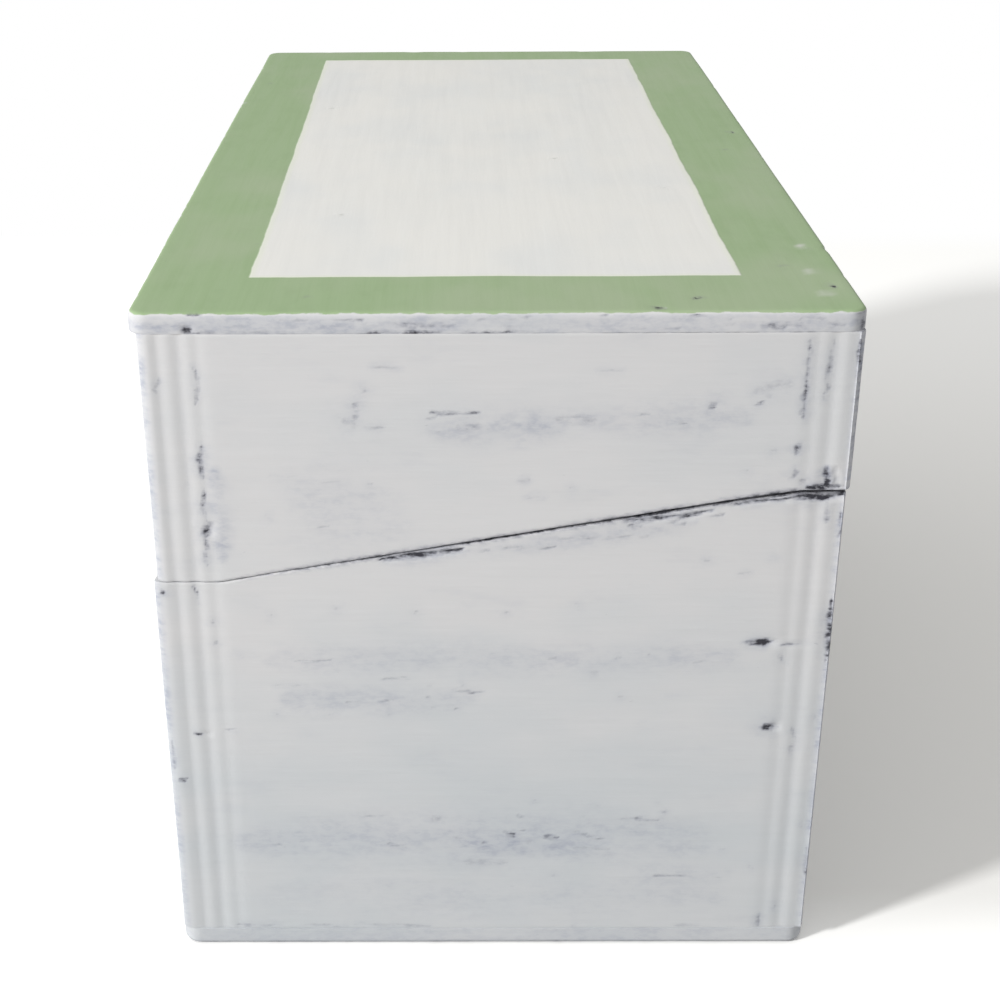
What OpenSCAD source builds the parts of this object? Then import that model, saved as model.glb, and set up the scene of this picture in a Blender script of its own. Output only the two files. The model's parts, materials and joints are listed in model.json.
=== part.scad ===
// Recipe card box with reeded corners and a slant-cut lid on two small butt hinges.
// X runs along the length, the front faces -Y, and the box stands on Z = 0.
// All sizes are in millimetres.

/* [Box] */
// Length of the boarded body, from end to end
body_length = 156; // [150:1:190]
// Depth of the boarded body, from front to back
body_depth = 84.8; // [80:0.2:120]
// Height over both panels with the lid shut
box_height = 92; // [88:1:120]
// Thickness of the front, back and end boards
board_thickness = 7.4; // [7:0.2:10]
// How far the lid sits behind the base
lid_creep = 0.4; // [0:0.05:1]

/* [Cut between base and lid] */
// Height of the base at the front
cut_front_height = 56.6; // [48:0.2:62]
// Height of the base at the back
cut_back_height = 68.3; // [62:0.1:72]
// Gap between base and lid along the front
front_gap = 0.2; // [0.2:0.05:0.6]

/* [Panels] */
// Radius of the upright corners of both panels, squarer than the boards' own
panel_corner_radius = 2.4; // [1.8:0.1:3.8]
// Thickness of the panel that closes the top
top_panel_thickness = 2.6; // [2:0.1:5]
// How far the top panel stands out past the end boards
top_end_overhang = 0.2; // [0:0.1:1]
// How far the top panel stands out past the front of the lid
top_front_overhang = 0.9; // [0:0.1:1.4]
// How far the top panel stands out past the back of the lid
top_back_overhang = 0.1; // [0:0.05:0.4]
// Radius along the upper edge of the top panel
top_edge_radius = 0.6; // [0.2:0.1:1.4]
// Thickness of the panel that closes the bottom
bottom_panel_thickness = 2.7; // [2:0.1:5]
// How far the bottom panel stands out past the boards
bottom_panel_overhang = 0.1; // [0:0.05:0.6]
// Radius along the lower edge of the bottom panel
bottom_edge_radius = 0.9; // [0.2:0.1:1.4]

/* [Reeded corners] */
// Radius of the bead on each upright corner
corner_bead_radius = 1.2; // [1:0.1:1.6]
// Distance from one bead to the next on a face
bead_pitch = 2.5; // [2.42:0.02:2.7]
// Radius of the beads on the faces
bead_radius = 2.4; // [2.1:0.1:2.7]
// Depth of the groove next to the flat of the board
groove_depth = 0.4; // [0.36:0.02:0.6]
// Width added to the groove next to the flat of the board
quirk_width = 0.2; // [0.1:0.05:0.4]

/* [Hinges] */
// Length of each hinge along its pin
hinge_length = 20; // [16:1:26]
// Distance between the middles of the two hinges
hinge_spacing = 80; // [60:1:95]
// Thickness of each leaf
leaf_thickness = 0.5; // [0.4:0.05:0.8]
// Play between the two leaves when the lid is shut
leaf_play = 0.1; // [0.1:0.02:0.3]
// Reach of each leaf from the middle of the pin
leaf_reach = 8; // [7.6:0.2:9]
// Radius of the hinge pin
pin_radius = 0.75; // [0.6:0.05:1]
// Running clearance round the pin
pin_clearance = 0.05; // [0.03:0.01:0.08]
// Gap between neighbouring knuckles along the pin
knuckle_gap = 0.2; // [0.15:0.05:0.4]
// Room between the barrel and the back of the lid
barrel_standoff = 0.3; // [0.3:0.05:0.8]
// Radius of the heads that keep the pin in its barrel
pin_head_radius = 1.1; // [1.05:0.05:1.3]
// Thickness of the heads of the pin
pin_head_thickness = 0.4; // [0.3:0.05:0.8]

/* [Hinge screws] */
// Length of each screw
screw_length = 6; // [5:0.5:8]
// Radius of the screw's shank
screw_radius = 0.75; // [0.6:0.05:0.9]
// Radius of the screw's countersunk head
screw_head_radius = 1.3; // [1.2:0.05:1.5]
// Distance between the two screws of a leaf
screw_spacing = 12; // [9:0.5:13]
// Distance of the screws from the middle of the pin
screw_setback = 5.6; // [5:0.1:6]
// Width of the slot in the screw's head
screw_slot_width = 0.35; // [0.25:0.05:0.5]
// Depth of the slot in the screw's head
screw_slot_depth = 0.25; // [0.15:0.05:0.3]

/* [Brads] */
// Length of the brads in the corner joints
corner_brad_length = 14; // [10:1:18]
// Length of the brads under the bottom panel
bottom_brad_length = 9; // [7:0.5:10]
// Radius of a brad's shank
brad_radius = 0.45; // [0.35:0.05:0.6]
// Radius of a brad's head
brad_head_radius = 0.7; // [0.65:0.05:0.9]
// Thickness of a brad's head
brad_head_thickness = 0.5; // [0.3:0.05:0.8]
// How deep the corner brads are set under the floor of the groove
corner_brad_set = 1; // [0.6:0.1:1.6]
// How deep the bottom brads are set into the panel
bottom_brad_set = 0.2; // [0.1:0.1:0.5]
// Number of brads in each upright corner of the base
base_brad_count = 3; // [2:1:4]
// Number of brads in each upright corner of the lid
lid_brad_count = 2; // [2:1:3]
// Distance of the outer base brads from the edges of the base
base_brad_margin = 11; // [10:0.5:14]
// Distance of the outer lid brads from the edges of the lid
lid_brad_margin = 5; // [4:0.5:6]
// Distance between the brads along the front and back of the bottom panel
bottom_brad_spacing = 50; // [40:1:55]

/* [Fits] */
// Clearance round screws and brads in their holes
fastener_clearance = 0.03; // [0.02:0.01:0.06]

/* [Hidden] */
$fn = 64;

// Colours of the finish
chalk_white = "gainsboro";
sage_green = "darkseagreen";
brass = "goldenrod";
steel = "silver";

half_length = body_length / 2;
half_depth = body_depth / 2;
inner_half_length = half_length - board_thickness;
inner_half_depth = half_depth - board_thickness;
boards_top = box_height - top_panel_thickness;

// The hinge leaves lie in the cut, so they set its width along the back.
back_gap = 2 * leaf_thickness + leaf_play;
lid_front_height = cut_front_height + front_gap;
lid_back_height = cut_back_height + back_gap;

// One bead rounds each upright corner, and two more stand beside it on either face.
beads_each_side = 2;
corner_x = half_length - corner_bead_radius;
corner_y = half_depth - corner_bead_radius;
// Depth at which two neighbouring beads meet
bead_meeting = bead_radius - sqrt(bead_radius * bead_radius - bead_pitch * bead_pitch / 4);
// The corner bead is this far under the face, from its own middle, where the next bead meets it.
corner_drop = corner_bead_radius - bead_meeting;
// From a face of the box to the groove beside the corner bead
corner_groove_setback = corner_bead_radius
    + sqrt(corner_bead_radius * corner_bead_radius - corner_drop * corner_drop);
// The corner joint shows in the groove between the two beads of a face.
seam_setback = corner_groove_setback + bead_pitch;
// From a face of the box to the flat of the board beside the last bead
flat_setback = corner_groove_setback + beads_each_side * bead_pitch + quirk_width;

knuckle_radius = pin_radius + pin_clearance + leaf_thickness;
knuckle_length = (hinge_length - 2 * knuckle_gap) / 3;
knuckle_step = knuckle_length + knuckle_gap;
// A leaf ends this far from the pin where the other leaf's knuckle turns.
leaf_relief = knuckle_radius + barrel_standoff;
hinge_y = half_depth + lid_creep + leaf_relief;
hinge_z = cut_back_height + leaf_thickness + leaf_play / 2;

// Screws and brads end in a tiny flat.
tip_radius = 0.1;
screw_tip = 3 * screw_radius;
brad_tip = 3 * brad_radius;
brad_x = half_length - groove_depth - corner_brad_set;
brad_y = half_depth - seam_setback;
board_middle = board_thickness / 2;
// Cutting shapes run this far past the wood, so that no skin is left.
overshoot = 1;

function spread(low, high, count) = [for (i = [0:count - 1]) low + (high - low) * i / (count - 1)];

base_brads_front = spread(bottom_panel_thickness + base_brad_margin,
                          cut_front_height - base_brad_margin, base_brad_count);
base_brads_back = spread(bottom_panel_thickness + base_brad_margin,
                         cut_back_height - base_brad_margin, base_brad_count);
lid_brads_front = spread(lid_front_height + lid_brad_margin,
                         boards_top - lid_brad_margin, lid_brad_count);
lid_brads_back = spread(lid_back_height + lid_brad_margin,
                        boards_top - lid_brad_margin, lid_brad_count);

// Outline of the boards, seen from above

module on_both_sides(direction) {
    children();
    mirror(direction)
        children();
}

module at_four_corners() {
    on_both_sides([1, 0, 0])
        on_both_sides([0, 1, 0])
            children();
}

// The corners' solid middle, out to the floor of the grooves. The beads cover its slanted sides.
module core() {
    floor_x = half_length - groove_depth;
    floor_y = half_depth - groove_depth;
    polygon([
        [floor_x, corner_y],
        [corner_x, floor_y],
        [-corner_x, floor_y],
        [-floor_x, corner_y],
        [-floor_x, -corner_y],
        [-corner_x, -floor_y],
        [corner_x, -floor_y],
        [floor_x, -corner_y]
    ]);
}

// The beads of the corner where X and Y are positive, counted away from the corner's own
module corner_beads() {
    translate([corner_x, corner_y])
        circle(r = corner_bead_radius);
    for (index = [1:beads_each_side]) {
        setback = corner_groove_setback + (index - 0.5) * bead_pitch;
        translate([half_length - bead_radius, half_depth - setback])
            circle(r = bead_radius);
        translate([half_length - setback, half_depth - bead_radius])
            circle(r = bead_radius);
    }
}

module reeded_outline() {
    square([body_length, body_depth - 2 * flat_setback], center = true);
    square([body_length - 2 * flat_setback, body_depth], center = true);
    core();
    at_four_corners()
        corner_beads();
}

// The back board's plan. Its ends stop in a groove of the reeding, so that the joint is hidden.
module back_plan() {
    intersection() {
        reeded_outline();
        translate([0, half_depth - board_middle])
            square([body_length - 2 * seam_setback, board_thickness], center = true);
    }
}

// The right end board's plan, rebated for the ends of the front and back boards
module end_plan() {
    rebate_depth = board_thickness - seam_setback;
    intersection() {
        reeded_outline();
        difference() {
            translate([half_length - board_middle, 0])
                square([board_thickness, body_depth], center = true);
            on_both_sides([0, 1, 0])
                translate([inner_half_length - overshoot, inner_half_depth])
                    square([rebate_depth + overshoot, board_thickness + overshoot]);
        }
    }
}

// Shapes seen from the end, drawn in Y and Z and run along the length

module run_along_length(length) {
    rotate([90, 0, 90])
        linear_extrude(height = length, center = true)
            children();
}

// The cut is level across the front and back boards, and slants between their inner faces.
module base_end_shape() {
    polygon([
        [-half_depth - overshoot, bottom_panel_thickness],
        [half_depth + overshoot, bottom_panel_thickness],
        [half_depth + overshoot, cut_back_height],
        [inner_half_depth, cut_back_height],
        [-inner_half_depth, cut_front_height],
        [-half_depth - overshoot, cut_front_height]
    ]);
}

module lid_end_shape() {
    polygon([
        [-half_depth - overshoot, lid_front_height],
        [-inner_half_depth, lid_front_height],
        [inner_half_depth, lid_back_height],
        [half_depth + overshoot, lid_back_height],
        [half_depth + overshoot, boards_top],
        [-half_depth - overshoot, boards_top]
    ]);
}

// Screws and brads stand on the Z axis with the outer face of the head at zero, pointing down.

module brad(length) {
    rotate_extrude()
        polygon([
            [0, 0],
            [brad_head_radius, 0],
            [brad_head_radius, -brad_head_thickness],
            [brad_radius, -brad_head_thickness],
            [brad_radius, brad_tip - length],
            [tip_radius, -length],
            [0, -length]
        ]);
}

// The hole for a brad reaches mouth above its head.
module brad_hole(length, mouth) {
    gap = fastener_clearance;
    rotate_extrude()
        polygon([
            [0, mouth],
            [brad_head_radius + gap, mouth],
            [brad_head_radius + gap, -brad_head_thickness - gap],
            [brad_radius + gap, -brad_head_thickness - gap],
            [brad_radius + gap, -length - gap],
            [0, -length - gap]
        ]);
}

module screw() {
    difference() {
        rotate_extrude()
            polygon([
                [0, 0],
                [screw_head_radius, 0],
                [screw_radius, screw_radius - screw_head_radius],
                [screw_radius, screw_tip - screw_length],
                [tip_radius, -screw_length],
                [0, -screw_length]
            ]);
        cube([2 * screw_head_radius + overshoot, screw_slot_width, 2 * screw_slot_depth],
             center = true);
    }
}

module screw_hole() {
    gap = fastener_clearance;
    rotate_extrude()
        polygon([
            [0, overshoot],
            [screw_head_radius + gap, overshoot],
            [screw_head_radius + gap, 0],
            [screw_radius + gap, screw_radius - screw_head_radius],
            [screw_radius + gap, -screw_length - gap],
            [0, -screw_length - gap]
        ]);
}

// Places of the fasteners

module at_corner_brads(front_heights, back_heights) {
    on_both_sides([1, 0, 0]) {
        for (height = front_heights)
            translate([brad_x, -brad_y, height])
                rotate([0, 90, 0])
                    children();
        for (height = back_heights)
            translate([brad_x, brad_y, height])
                rotate([0, 90, 0])
                    children();
    }
}

module at_bottom_brads() {
    translate([0, 0, bottom_brad_set]) {
        on_both_sides([0, 1, 0])
            for (x = [-bottom_brad_spacing, 0, bottom_brad_spacing])
                translate([x, half_depth - board_middle, 0])
                    rotate([180, 0, 0])
                        children();
        on_both_sides([1, 0, 0])
            translate([half_length - board_middle, 0, 0])
                rotate([180, 0, 0])
                    children();
    }
}

module at_each_hinge() {
    for (side = [-1, 1])
        translate([side * hinge_spacing / 2, 0, 0])
            children();
}

// Screws of one base leaf, placed from the middle of its pin
module at_leaf_screws() {
    for (side = [-1, 1])
        translate([side * screw_spacing / 2, -screw_setback, -leaf_play / 2])
            children();
}

module at_pin() {
    translate([0, hinge_y, hinge_z])
        children();
}

module at_base_screws() {
    at_each_hinge()
        at_pin()
            at_leaf_screws()
                children();
}

module at_lid_screws() {
    at_each_hinge()
        at_pin()
            mirror([0, 0, 1])
                at_leaf_screws()
                    children();
}

// Boards

module on_lid() {
    translate([0, lid_creep, 0])
        children();
}

module base_brad_holes() {
    at_corner_brads(base_brads_front, base_brads_back)
        brad_hole(corner_brad_length, fastener_clearance);
    at_bottom_brads()
        brad_hole(bottom_brad_length, overshoot);
}

module lid_brad_holes() {
    at_corner_brads(lid_brads_front, lid_brads_back)
        brad_hole(corner_brad_length, fastener_clearance);
}

module long_board(plan_side, bottom, top) {
    translate([0, 0, bottom])
        linear_extrude(height = top - bottom)
            mirror([0, plan_side])
                back_plan();
}

module end_board() {
    intersection() {
        linear_extrude(height = box_height)
            end_plan();
        run_along_length(body_length + overshoot)
            children();
    }
}

module base_front_board() {
    color(chalk_white)
        difference() {
            long_board(1, bottom_panel_thickness, cut_front_height);
            base_brad_holes();
        }
}

module base_back_board() {
    color(chalk_white)
        difference() {
            long_board(0, bottom_panel_thickness, cut_back_height);
            base_brad_holes();
            at_base_screws()
                screw_hole();
        }
}

module base_right_end_board() {
    color(chalk_white)
        difference() {
            end_board()
                base_end_shape();
            base_brad_holes();
        }
}

module base_left_end_board() {
    mirror([1, 0, 0])
        base_right_end_board();
}

module lid_front_board() {
    color(chalk_white)
        on_lid()
            difference() {
                long_board(1, lid_front_height, boards_top);
                lid_brad_holes();
            }
}

module lid_back_board() {
    color(chalk_white)
        difference() {
            on_lid()
                difference() {
                    long_board(0, lid_back_height, boards_top);
                    lid_brad_holes();
                }
            at_lid_screws()
                screw_hole();
        }
}

module lid_right_end_board() {
    color(chalk_white)
        on_lid()
            difference() {
                end_board()
                    lid_end_shape();
                lid_brad_holes();
            }
}

module lid_left_end_board() {
    mirror([1, 0, 0])
        lid_right_end_board();
}

// Panels

// Section of a panel whose two lower edges are rounded
module edged_section(width, thickness, edge_radius) {
    translate([-width / 2, edge_radius])
        square([width, thickness - edge_radius]);
    translate([edge_radius - width / 2, 0])
        square([width - 2 * edge_radius, thickness]);
    on_both_sides([1, 0])
        translate([width / 2 - edge_radius, edge_radius])
            circle(r = edge_radius);
}

module panel_corner(thickness, edge_radius) {
    rotate_extrude(angle = 90)
        intersection() {
            edged_section(2 * panel_corner_radius, thickness, edge_radius);
            square([panel_corner_radius, thickness]);
        }
}

module panel(length, depth, thickness, edge_radius) {
    run_along_length(length - 2 * panel_corner_radius)
        edged_section(depth, thickness, edge_radius);
    rotate([90, 0, 0])
        linear_extrude(height = depth - 2 * panel_corner_radius, center = true)
            edged_section(length, thickness, edge_radius);
    at_four_corners()
        translate([length / 2 - panel_corner_radius, depth / 2 - panel_corner_radius, 0])
            panel_corner(thickness, edge_radius);
}

module bottom_panel() {
    color(chalk_white)
        difference() {
            panel(body_length + 2 * bottom_panel_overhang, body_depth + 2 * bottom_panel_overhang,
                  bottom_panel_thickness, bottom_edge_radius);
            at_bottom_brads()
                brad_hole(bottom_brad_length, overshoot);
        }
}

module top_panel() {
    color(sage_green)
        on_lid()
            translate([0, (top_back_overhang - top_front_overhang) / 2, box_height])
                mirror([0, 0, 1])
                    panel(body_length + 2 * top_end_overhang,
                          body_depth + top_front_overhang + top_back_overhang,
                          top_panel_thickness, top_edge_radius);
}

// Fasteners

module base_corner_brads() {
    color(steel)
        at_corner_brads(base_brads_front, base_brads_back)
            brad(corner_brad_length);
}

module bottom_panel_brads() {
    color(steel)
        at_bottom_brads()
            brad(bottom_brad_length);
}

module lid_corner_brads() {
    color(steel)
        on_lid()
            at_corner_brads(lid_brads_front, lid_brads_back)
                brad(corner_brad_length);
}

module hinge_screws_in_base() {
    color(brass)
        at_base_screws()
            screw();
}

module hinge_screws_in_lid() {
    color(brass)
        at_lid_screws()
            screw();
}

// Hinges, drawn round the middle of their pin

// A leaf that lies under the pin's middle, with a knuckle at each of the given steps along it
module leaf(steps) {
    leaf_top = -leaf_play / 2;
    difference() {
        union() {
            translate([-hinge_length / 2, -leaf_reach, leaf_top - leaf_thickness])
                cube([hinge_length, leaf_reach - leaf_relief, leaf_thickness]);
            for (step = steps)
                translate([step * knuckle_step - knuckle_length / 2, 0, 0]) {
                    translate([0, -leaf_reach, leaf_top - leaf_thickness])
                        cube([knuckle_length, leaf_reach, leaf_thickness]);
                    rotate([0, 90, 0])
                        cylinder(h = knuckle_length, r = knuckle_radius);
                }
        }
        rotate([0, 90, 0])
            cylinder(h = hinge_length + overshoot, r = pin_radius + pin_clearance, center = true);
        at_leaf_screws()
            screw_hole();
    }
}

module base_leaf() {
    color(brass)
        at_pin()
            leaf([-1, 1]);
}

module lid_leaf() {
    color(brass)
        at_pin()
            mirror([0, 0, 1])
                leaf([0]);
}

module hinge_pin() {
    end = hinge_length / 2;
    color(brass)
        at_pin()
            rotate([0, 90, 0])
                rotate_extrude()
                    polygon([
                        [0, -end - pin_head_thickness],
                        [pin_head_radius, -end - pin_head_thickness],
                        [pin_head_radius, -end],
                        [pin_radius, -end],
                        [pin_radius, end],
                        [pin_head_radius, end],
                        [pin_head_radius, end + pin_head_thickness],
                        [0, end + pin_head_thickness]
                    ]);
}

module at_left_hinge() {
    translate([-hinge_spacing / 2, 0, 0])
        children();
}

module at_right_hinge() {
    translate([hinge_spacing / 2, 0, 0])
        children();
}

base_front_board();
base_back_board();
base_left_end_board();
base_right_end_board();
bottom_panel();
base_corner_brads();
bottom_panel_brads();
lid_front_board();
lid_back_board();
lid_left_end_board();
lid_right_end_board();
top_panel();
lid_corner_brads();
at_left_hinge() base_leaf();  // left_hinge_base_leaf
at_left_hinge() lid_leaf();  // left_hinge_lid_leaf
at_left_hinge() hinge_pin();  // left_hinge_pin
at_right_hinge() base_leaf();  // right_hinge_base_leaf
at_right_hinge() lid_leaf();  // right_hinge_lid_leaf
at_right_hinge() hinge_pin();  // right_hinge_pin
hinge_screws_in_base();
hinge_screws_in_lid();
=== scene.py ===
# %% [markdown]
# A recipe card box: a small wooden box with reeded corners and a lid that is cut on a slant. It was
# painted a dark blue grey, brushed over with off-white chalk paint, and rubbed at the edges until
# the dark coat showed again. Its top is sage green round a plain cream field.
# The wooden frame is loaded first. Its boards already have their true size and place, and nothing
# below changes either.

# %% Load the frame and measure it
import json
import math

import bmesh
import bpy
import numpy as np
from mathutils import Matrix, Vector
from mathutils.geometry import delaunay_2d_cdt


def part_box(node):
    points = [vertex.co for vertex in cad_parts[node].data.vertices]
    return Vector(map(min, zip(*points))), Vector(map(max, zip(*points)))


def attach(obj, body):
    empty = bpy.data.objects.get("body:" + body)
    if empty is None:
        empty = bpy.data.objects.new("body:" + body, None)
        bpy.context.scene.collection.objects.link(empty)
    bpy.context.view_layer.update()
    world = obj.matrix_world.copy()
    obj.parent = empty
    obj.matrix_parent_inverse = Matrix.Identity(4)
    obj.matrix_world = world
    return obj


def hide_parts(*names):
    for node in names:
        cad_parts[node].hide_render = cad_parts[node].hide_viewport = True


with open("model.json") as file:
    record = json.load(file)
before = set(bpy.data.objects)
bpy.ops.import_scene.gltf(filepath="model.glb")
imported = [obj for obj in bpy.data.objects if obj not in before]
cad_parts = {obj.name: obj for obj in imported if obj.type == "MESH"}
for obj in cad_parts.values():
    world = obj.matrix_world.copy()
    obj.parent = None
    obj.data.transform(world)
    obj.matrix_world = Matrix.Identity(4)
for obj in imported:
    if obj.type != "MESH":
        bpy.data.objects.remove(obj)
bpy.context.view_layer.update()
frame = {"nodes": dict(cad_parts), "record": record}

nodes = frame["nodes"]
scene = bpy.context.scene
MM = 0.001

# %% [markdown]
# The camera stands in front of the right-hand end of the box and looks down on it. Its place and
# its three turns were found from the box's own edges, so the lens only has to match them.
# Building the three directions as vectors keeps every turn visible, where a row of angles hides it.

# %% Camera
camera_place = Vector((0.2515069, -0.0042520, 0.1548552))
turn = math.radians(0.3941)
tilt = math.radians(23.3813)
roll = math.radians(-0.3626)
lens_in_pixels = 1607.0949
picture_pixels = 1000
# The lens looks straight at this pixel of the picture, counted from its top left corner
straight_ahead = (450, 410)

forward = Vector((-math.cos(turn) * math.cos(tilt), -math.sin(turn) * math.cos(tilt), -math.sin(tilt)))
level_right = forward.cross(Vector((0, 0, 1))).normalized()
level_up = level_right.cross(forward)
right = math.cos(roll) * level_right + math.sin(roll) * level_up
up = -math.sin(roll) * level_right + math.cos(roll) * level_up

camera_data = bpy.data.cameras.new("camera")
camera_data.sensor_width = 36.0
camera_data.lens = camera_data.sensor_width * lens_in_pixels / picture_pixels
camera_data.shift_x = 0.5 - straight_ahead[0] / picture_pixels
camera_data.shift_y = straight_ahead[1] / picture_pixels - 0.5
camera_data.clip_start = 0.01
camera_data.clip_end = 50.0
camera = bpy.data.objects.new("camera", camera_data)
scene.collection.objects.link(camera)
camera.matrix_world = Matrix.Translation(camera_place) @ Matrix((right, up, -forward)).transposed().to_4x4()
scene.camera = camera
print("lens", round(camera_data.lens, 2), "mm")

# %% [markdown]
# Wood that was planed, reeded and brushed by hand is never quite flat, and paint rubs off in
# places that no ruler would choose. Both need soft random values that are the same on every run.
# Blender's own textures can do this in a material. A mesh needs the values as numbers, so a small
# lattice of random numbers is smoothed here, from a fixed seed.

# %% Soft random values
LATTICE_CELLS = 32


def smooth_noise(places, grain, seed):
    """Values from 0 to 1 whose hills lie about grain apart: one length in mm for each axis."""
    lattice = np.random.default_rng(seed).random((LATTICE_CELLS,) * 3)
    scaled = places / np.array(grain, dtype=float)
    cell = np.floor(scaled).astype(int)
    part = scaled - cell
    part = part * part * (3 - 2 * part)
    value = np.zeros(len(places))
    for step_x in (0, 1):
        for step_y in (0, 1):
            for step_z in (0, 1):
                step = np.array((step_x, step_y, step_z))
                weight = np.prod(np.where(step, part, 1 - part), axis=1)
                corner = (cell + step) % LATTICE_CELLS
                value += weight * lattice[corner[:, 0], corner[:, 1], corner[:, 2]]
    return value


def soft_step(value, low, high):
    """0 up to low, 1 from high on, and a smooth rise between them."""
    part = np.clip((value - low) / (high - low), 0, 1)
    return part * part * (3 - 2 * part)


print("noise lattice:", LATTICE_CELLS, "cells a side")

# %% [markdown]
# Each board is lofted: its plan, with the reeding, is run upwards in rows. The plan is read from
# the frame's own board by a level cut, so the new board can't drift from the one it stands for.
# Long straight sides are divided, because a wavy, dented surface needs points to move.

# %% Read a board's plan from the frame
# The heights in mm of the level cuts, clear of the slanted cut and of both panels
base_plan_height, lid_plan_height = 22, 80


def level_outline(node, height):
    """The outline, in mm and counter-clockwise, that a level cut leaves in a board."""
    cut_mesh = bmesh.new()
    cut_mesh.from_mesh(nodes[node].data)
    bmesh.ops.remove_doubles(cut_mesh, verts=cut_mesh.verts[:], dist=1e-6)
    everything = cut_mesh.verts[:] + cut_mesh.edges[:] + cut_mesh.faces[:]
    cut = bmesh.ops.bisect_plane(cut_mesh, geom=everything, plane_co=(0, 0, height * MM), plane_no=(0, 0, 1))
    edges = {e for e in cut["geom_cut"] if isinstance(e, bmesh.types.BMEdge)}
    start = next(iter(edges)).verts[0]
    loop = [start]
    last, here = None, start
    while True:
        ahead = [e.other_vert(here) for e in here.link_edges if e in edges]
        ahead = [v for v in ahead if v is not last]
        last, here = here, ahead[0]
        if here is start:
            break
        loop.append(here)
    outline = np.array([(v.co.x, v.co.y) for v in loop]) / MM
    cut_mesh.free()
    ahead = np.roll(outline, -1, axis=0)
    area = np.sum(outline[:, 0] * ahead[:, 1] - ahead[:, 0] * outline[:, 1])
    outline = outline if area > 0 else outline[::-1]
    first = np.lexsort((outline[:, 1], outline[:, 0]))[0]
    return np.roll(outline, -first, axis=0)


print("plans are read at", base_plan_height, "and", lid_plan_height, "mm")

# %% Prepare a plan


def without_straight_points(outline, slack=0.002):
    """The outline with the points dropped that lie on a straight line between their neighbours."""
    kept = list(outline)
    index = 0
    while index < len(kept):
        before, here, after = kept[index - 1], kept[index], kept[(index + 1) % len(kept)]
        across = after - before
        away = abs(across[0] * (here - before)[1] - across[1] * (here - before)[0]) / np.hypot(*across)
        if away < slack:
            kept.pop(index)
            index = max(index - 1, 0)
        else:
            index += 1
    return np.array(kept)


def divided(outline, step_at):
    """The outline with its long sides divided. step_at gives the spacing wanted at a place."""
    points = []
    for here, after in zip(outline, np.roll(outline, -1, axis=0)):
        count = max(1, round(float(np.hypot(*(after - here))) / step_at((here + after) / 2)))
        points += [here + (after - here) * i / count for i in range(count)]
    return np.array(points)


def directions(outline):
    """The unit directions in which the outline reaches and leaves each point."""
    before = outline - np.roll(outline, 1, axis=0)
    before /= np.linalg.norm(before, axis=1)[:, None]
    return before, np.roll(before, -1, axis=0)


def clear_of_corners(outline, room=0.45, sharp=0.7):
    """Drops points close to a sharp outer corner, so that a worn corner can't fold over them."""
    before, after = directions(outline)
    corners = outline[before[:, 0] * after[:, 1] - before[:, 1] * after[:, 0] > sharp]
    kept = []
    for point in outline:
        away = np.linalg.norm(corners - point, axis=1) if len(corners) else np.array([room])
        if np.min(away) < 1e-6 or np.min(away) >= room:
            kept.append(point)
    return np.array(kept)


def outward(outline):
    """The direction away from the wood at each point of the outline."""
    before, after = directions(outline)
    both = before + after
    normal = np.stack((both[:, 1], -both[:, 0]), axis=1)
    return normal / np.maximum(np.linalg.norm(normal, axis=1), 1e-9)[:, None]


for name, height in (("base_right_end_board", base_plan_height), ("lid_back_board", lid_plan_height)):
    print(name, "has", len(without_straight_points(level_outline(name, height))), "plan points")

# %% [markdown]
# The slanted cut runs level over the front and back boards and slants between them. Each of its
# sides is described by two heights and two inner faces, and the frame's boxes give them all. The gap
# is wider at the back. Paint has run into it, and there is more of it where the gap is wide.

# %% Measure the cut between base and lid


def box_mm(node):
    """The low and the high corner of a frame piece."""
    low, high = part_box(node)
    return np.array(low) / MM, np.array(high) / MM


base_front_low, base_front_high = box_mm("base_front_board")
base_back_low, base_back_high = box_mm("base_back_board")
lid_front_low, lid_front_high = box_mm("lid_front_board")
lid_back_low, lid_back_high = box_mm("lid_back_board")
half_length = box_mm("base_right_end_board")[1][0]
half_depth = base_back_high[1]
lid_shift = lid_back_high[1] - base_back_high[1]
corner_radius = 1.2
# A place that lies deeper than this, in mm, isn't on the painted outside
skin = 0.75
# How far paint reaches into the narrowest part of the cut, and its share of what the gap has more
paint_reach, paint_share, narrowest_gap = 0.05, 0.25, 0.2


def base_top(y):
    return np.interp(y, [base_front_high[1], base_back_low[1]], [base_front_high[2], base_back_high[2]])


def lid_bottom(y):
    return np.interp(y, [lid_front_high[1], lid_back_low[1]], [lid_front_low[2], lid_back_low[2]])


def paint_in_cut(y):
    """How far paint brings each side of the cut into the gap, in mm."""
    return paint_reach + paint_share * (lid_bottom(y) - base_top(y) - narrowest_gap)


def painted_base_top(y):
    return base_top(y) + paint_in_cut(y)


def painted_lid_bottom(y):
    return lid_bottom(y) - paint_in_cut(y)


def depth_in_plan(places, middle_y, half_x, half_y, radius):
    """How far a place lies inside a rectangle with rounded corners."""
    away = np.abs(places[:, :2] - [0, middle_y]) - [half_x - radius, half_y - radius]
    outside = np.linalg.norm(np.maximum(away, 0), axis=1)
    inside = np.minimum(np.max(away, axis=1), 0)
    return radius - outside - inside


def depth_under_face(places, shift):
    """How far a place lies under the smooth outside of the boards, with their grooves filled."""
    return depth_in_plan(places, shift, half_length, half_depth, corner_radius)


print("cut from", round(base_front_high[2], 1), "to", round(base_back_high[2], 1), "mm")
print("lid set back by", round(lid_shift, 2), "mm")

# %% [markdown]
# Two coats of thick chalk paint fill the reeding, so its beads read as soft waves. The depth of
# each plan point under the face is averaged with its neighbours' along the outline, as paint does.

# %% Fill the grooves with paint
PAINT_SPREAD = 0.6


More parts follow.
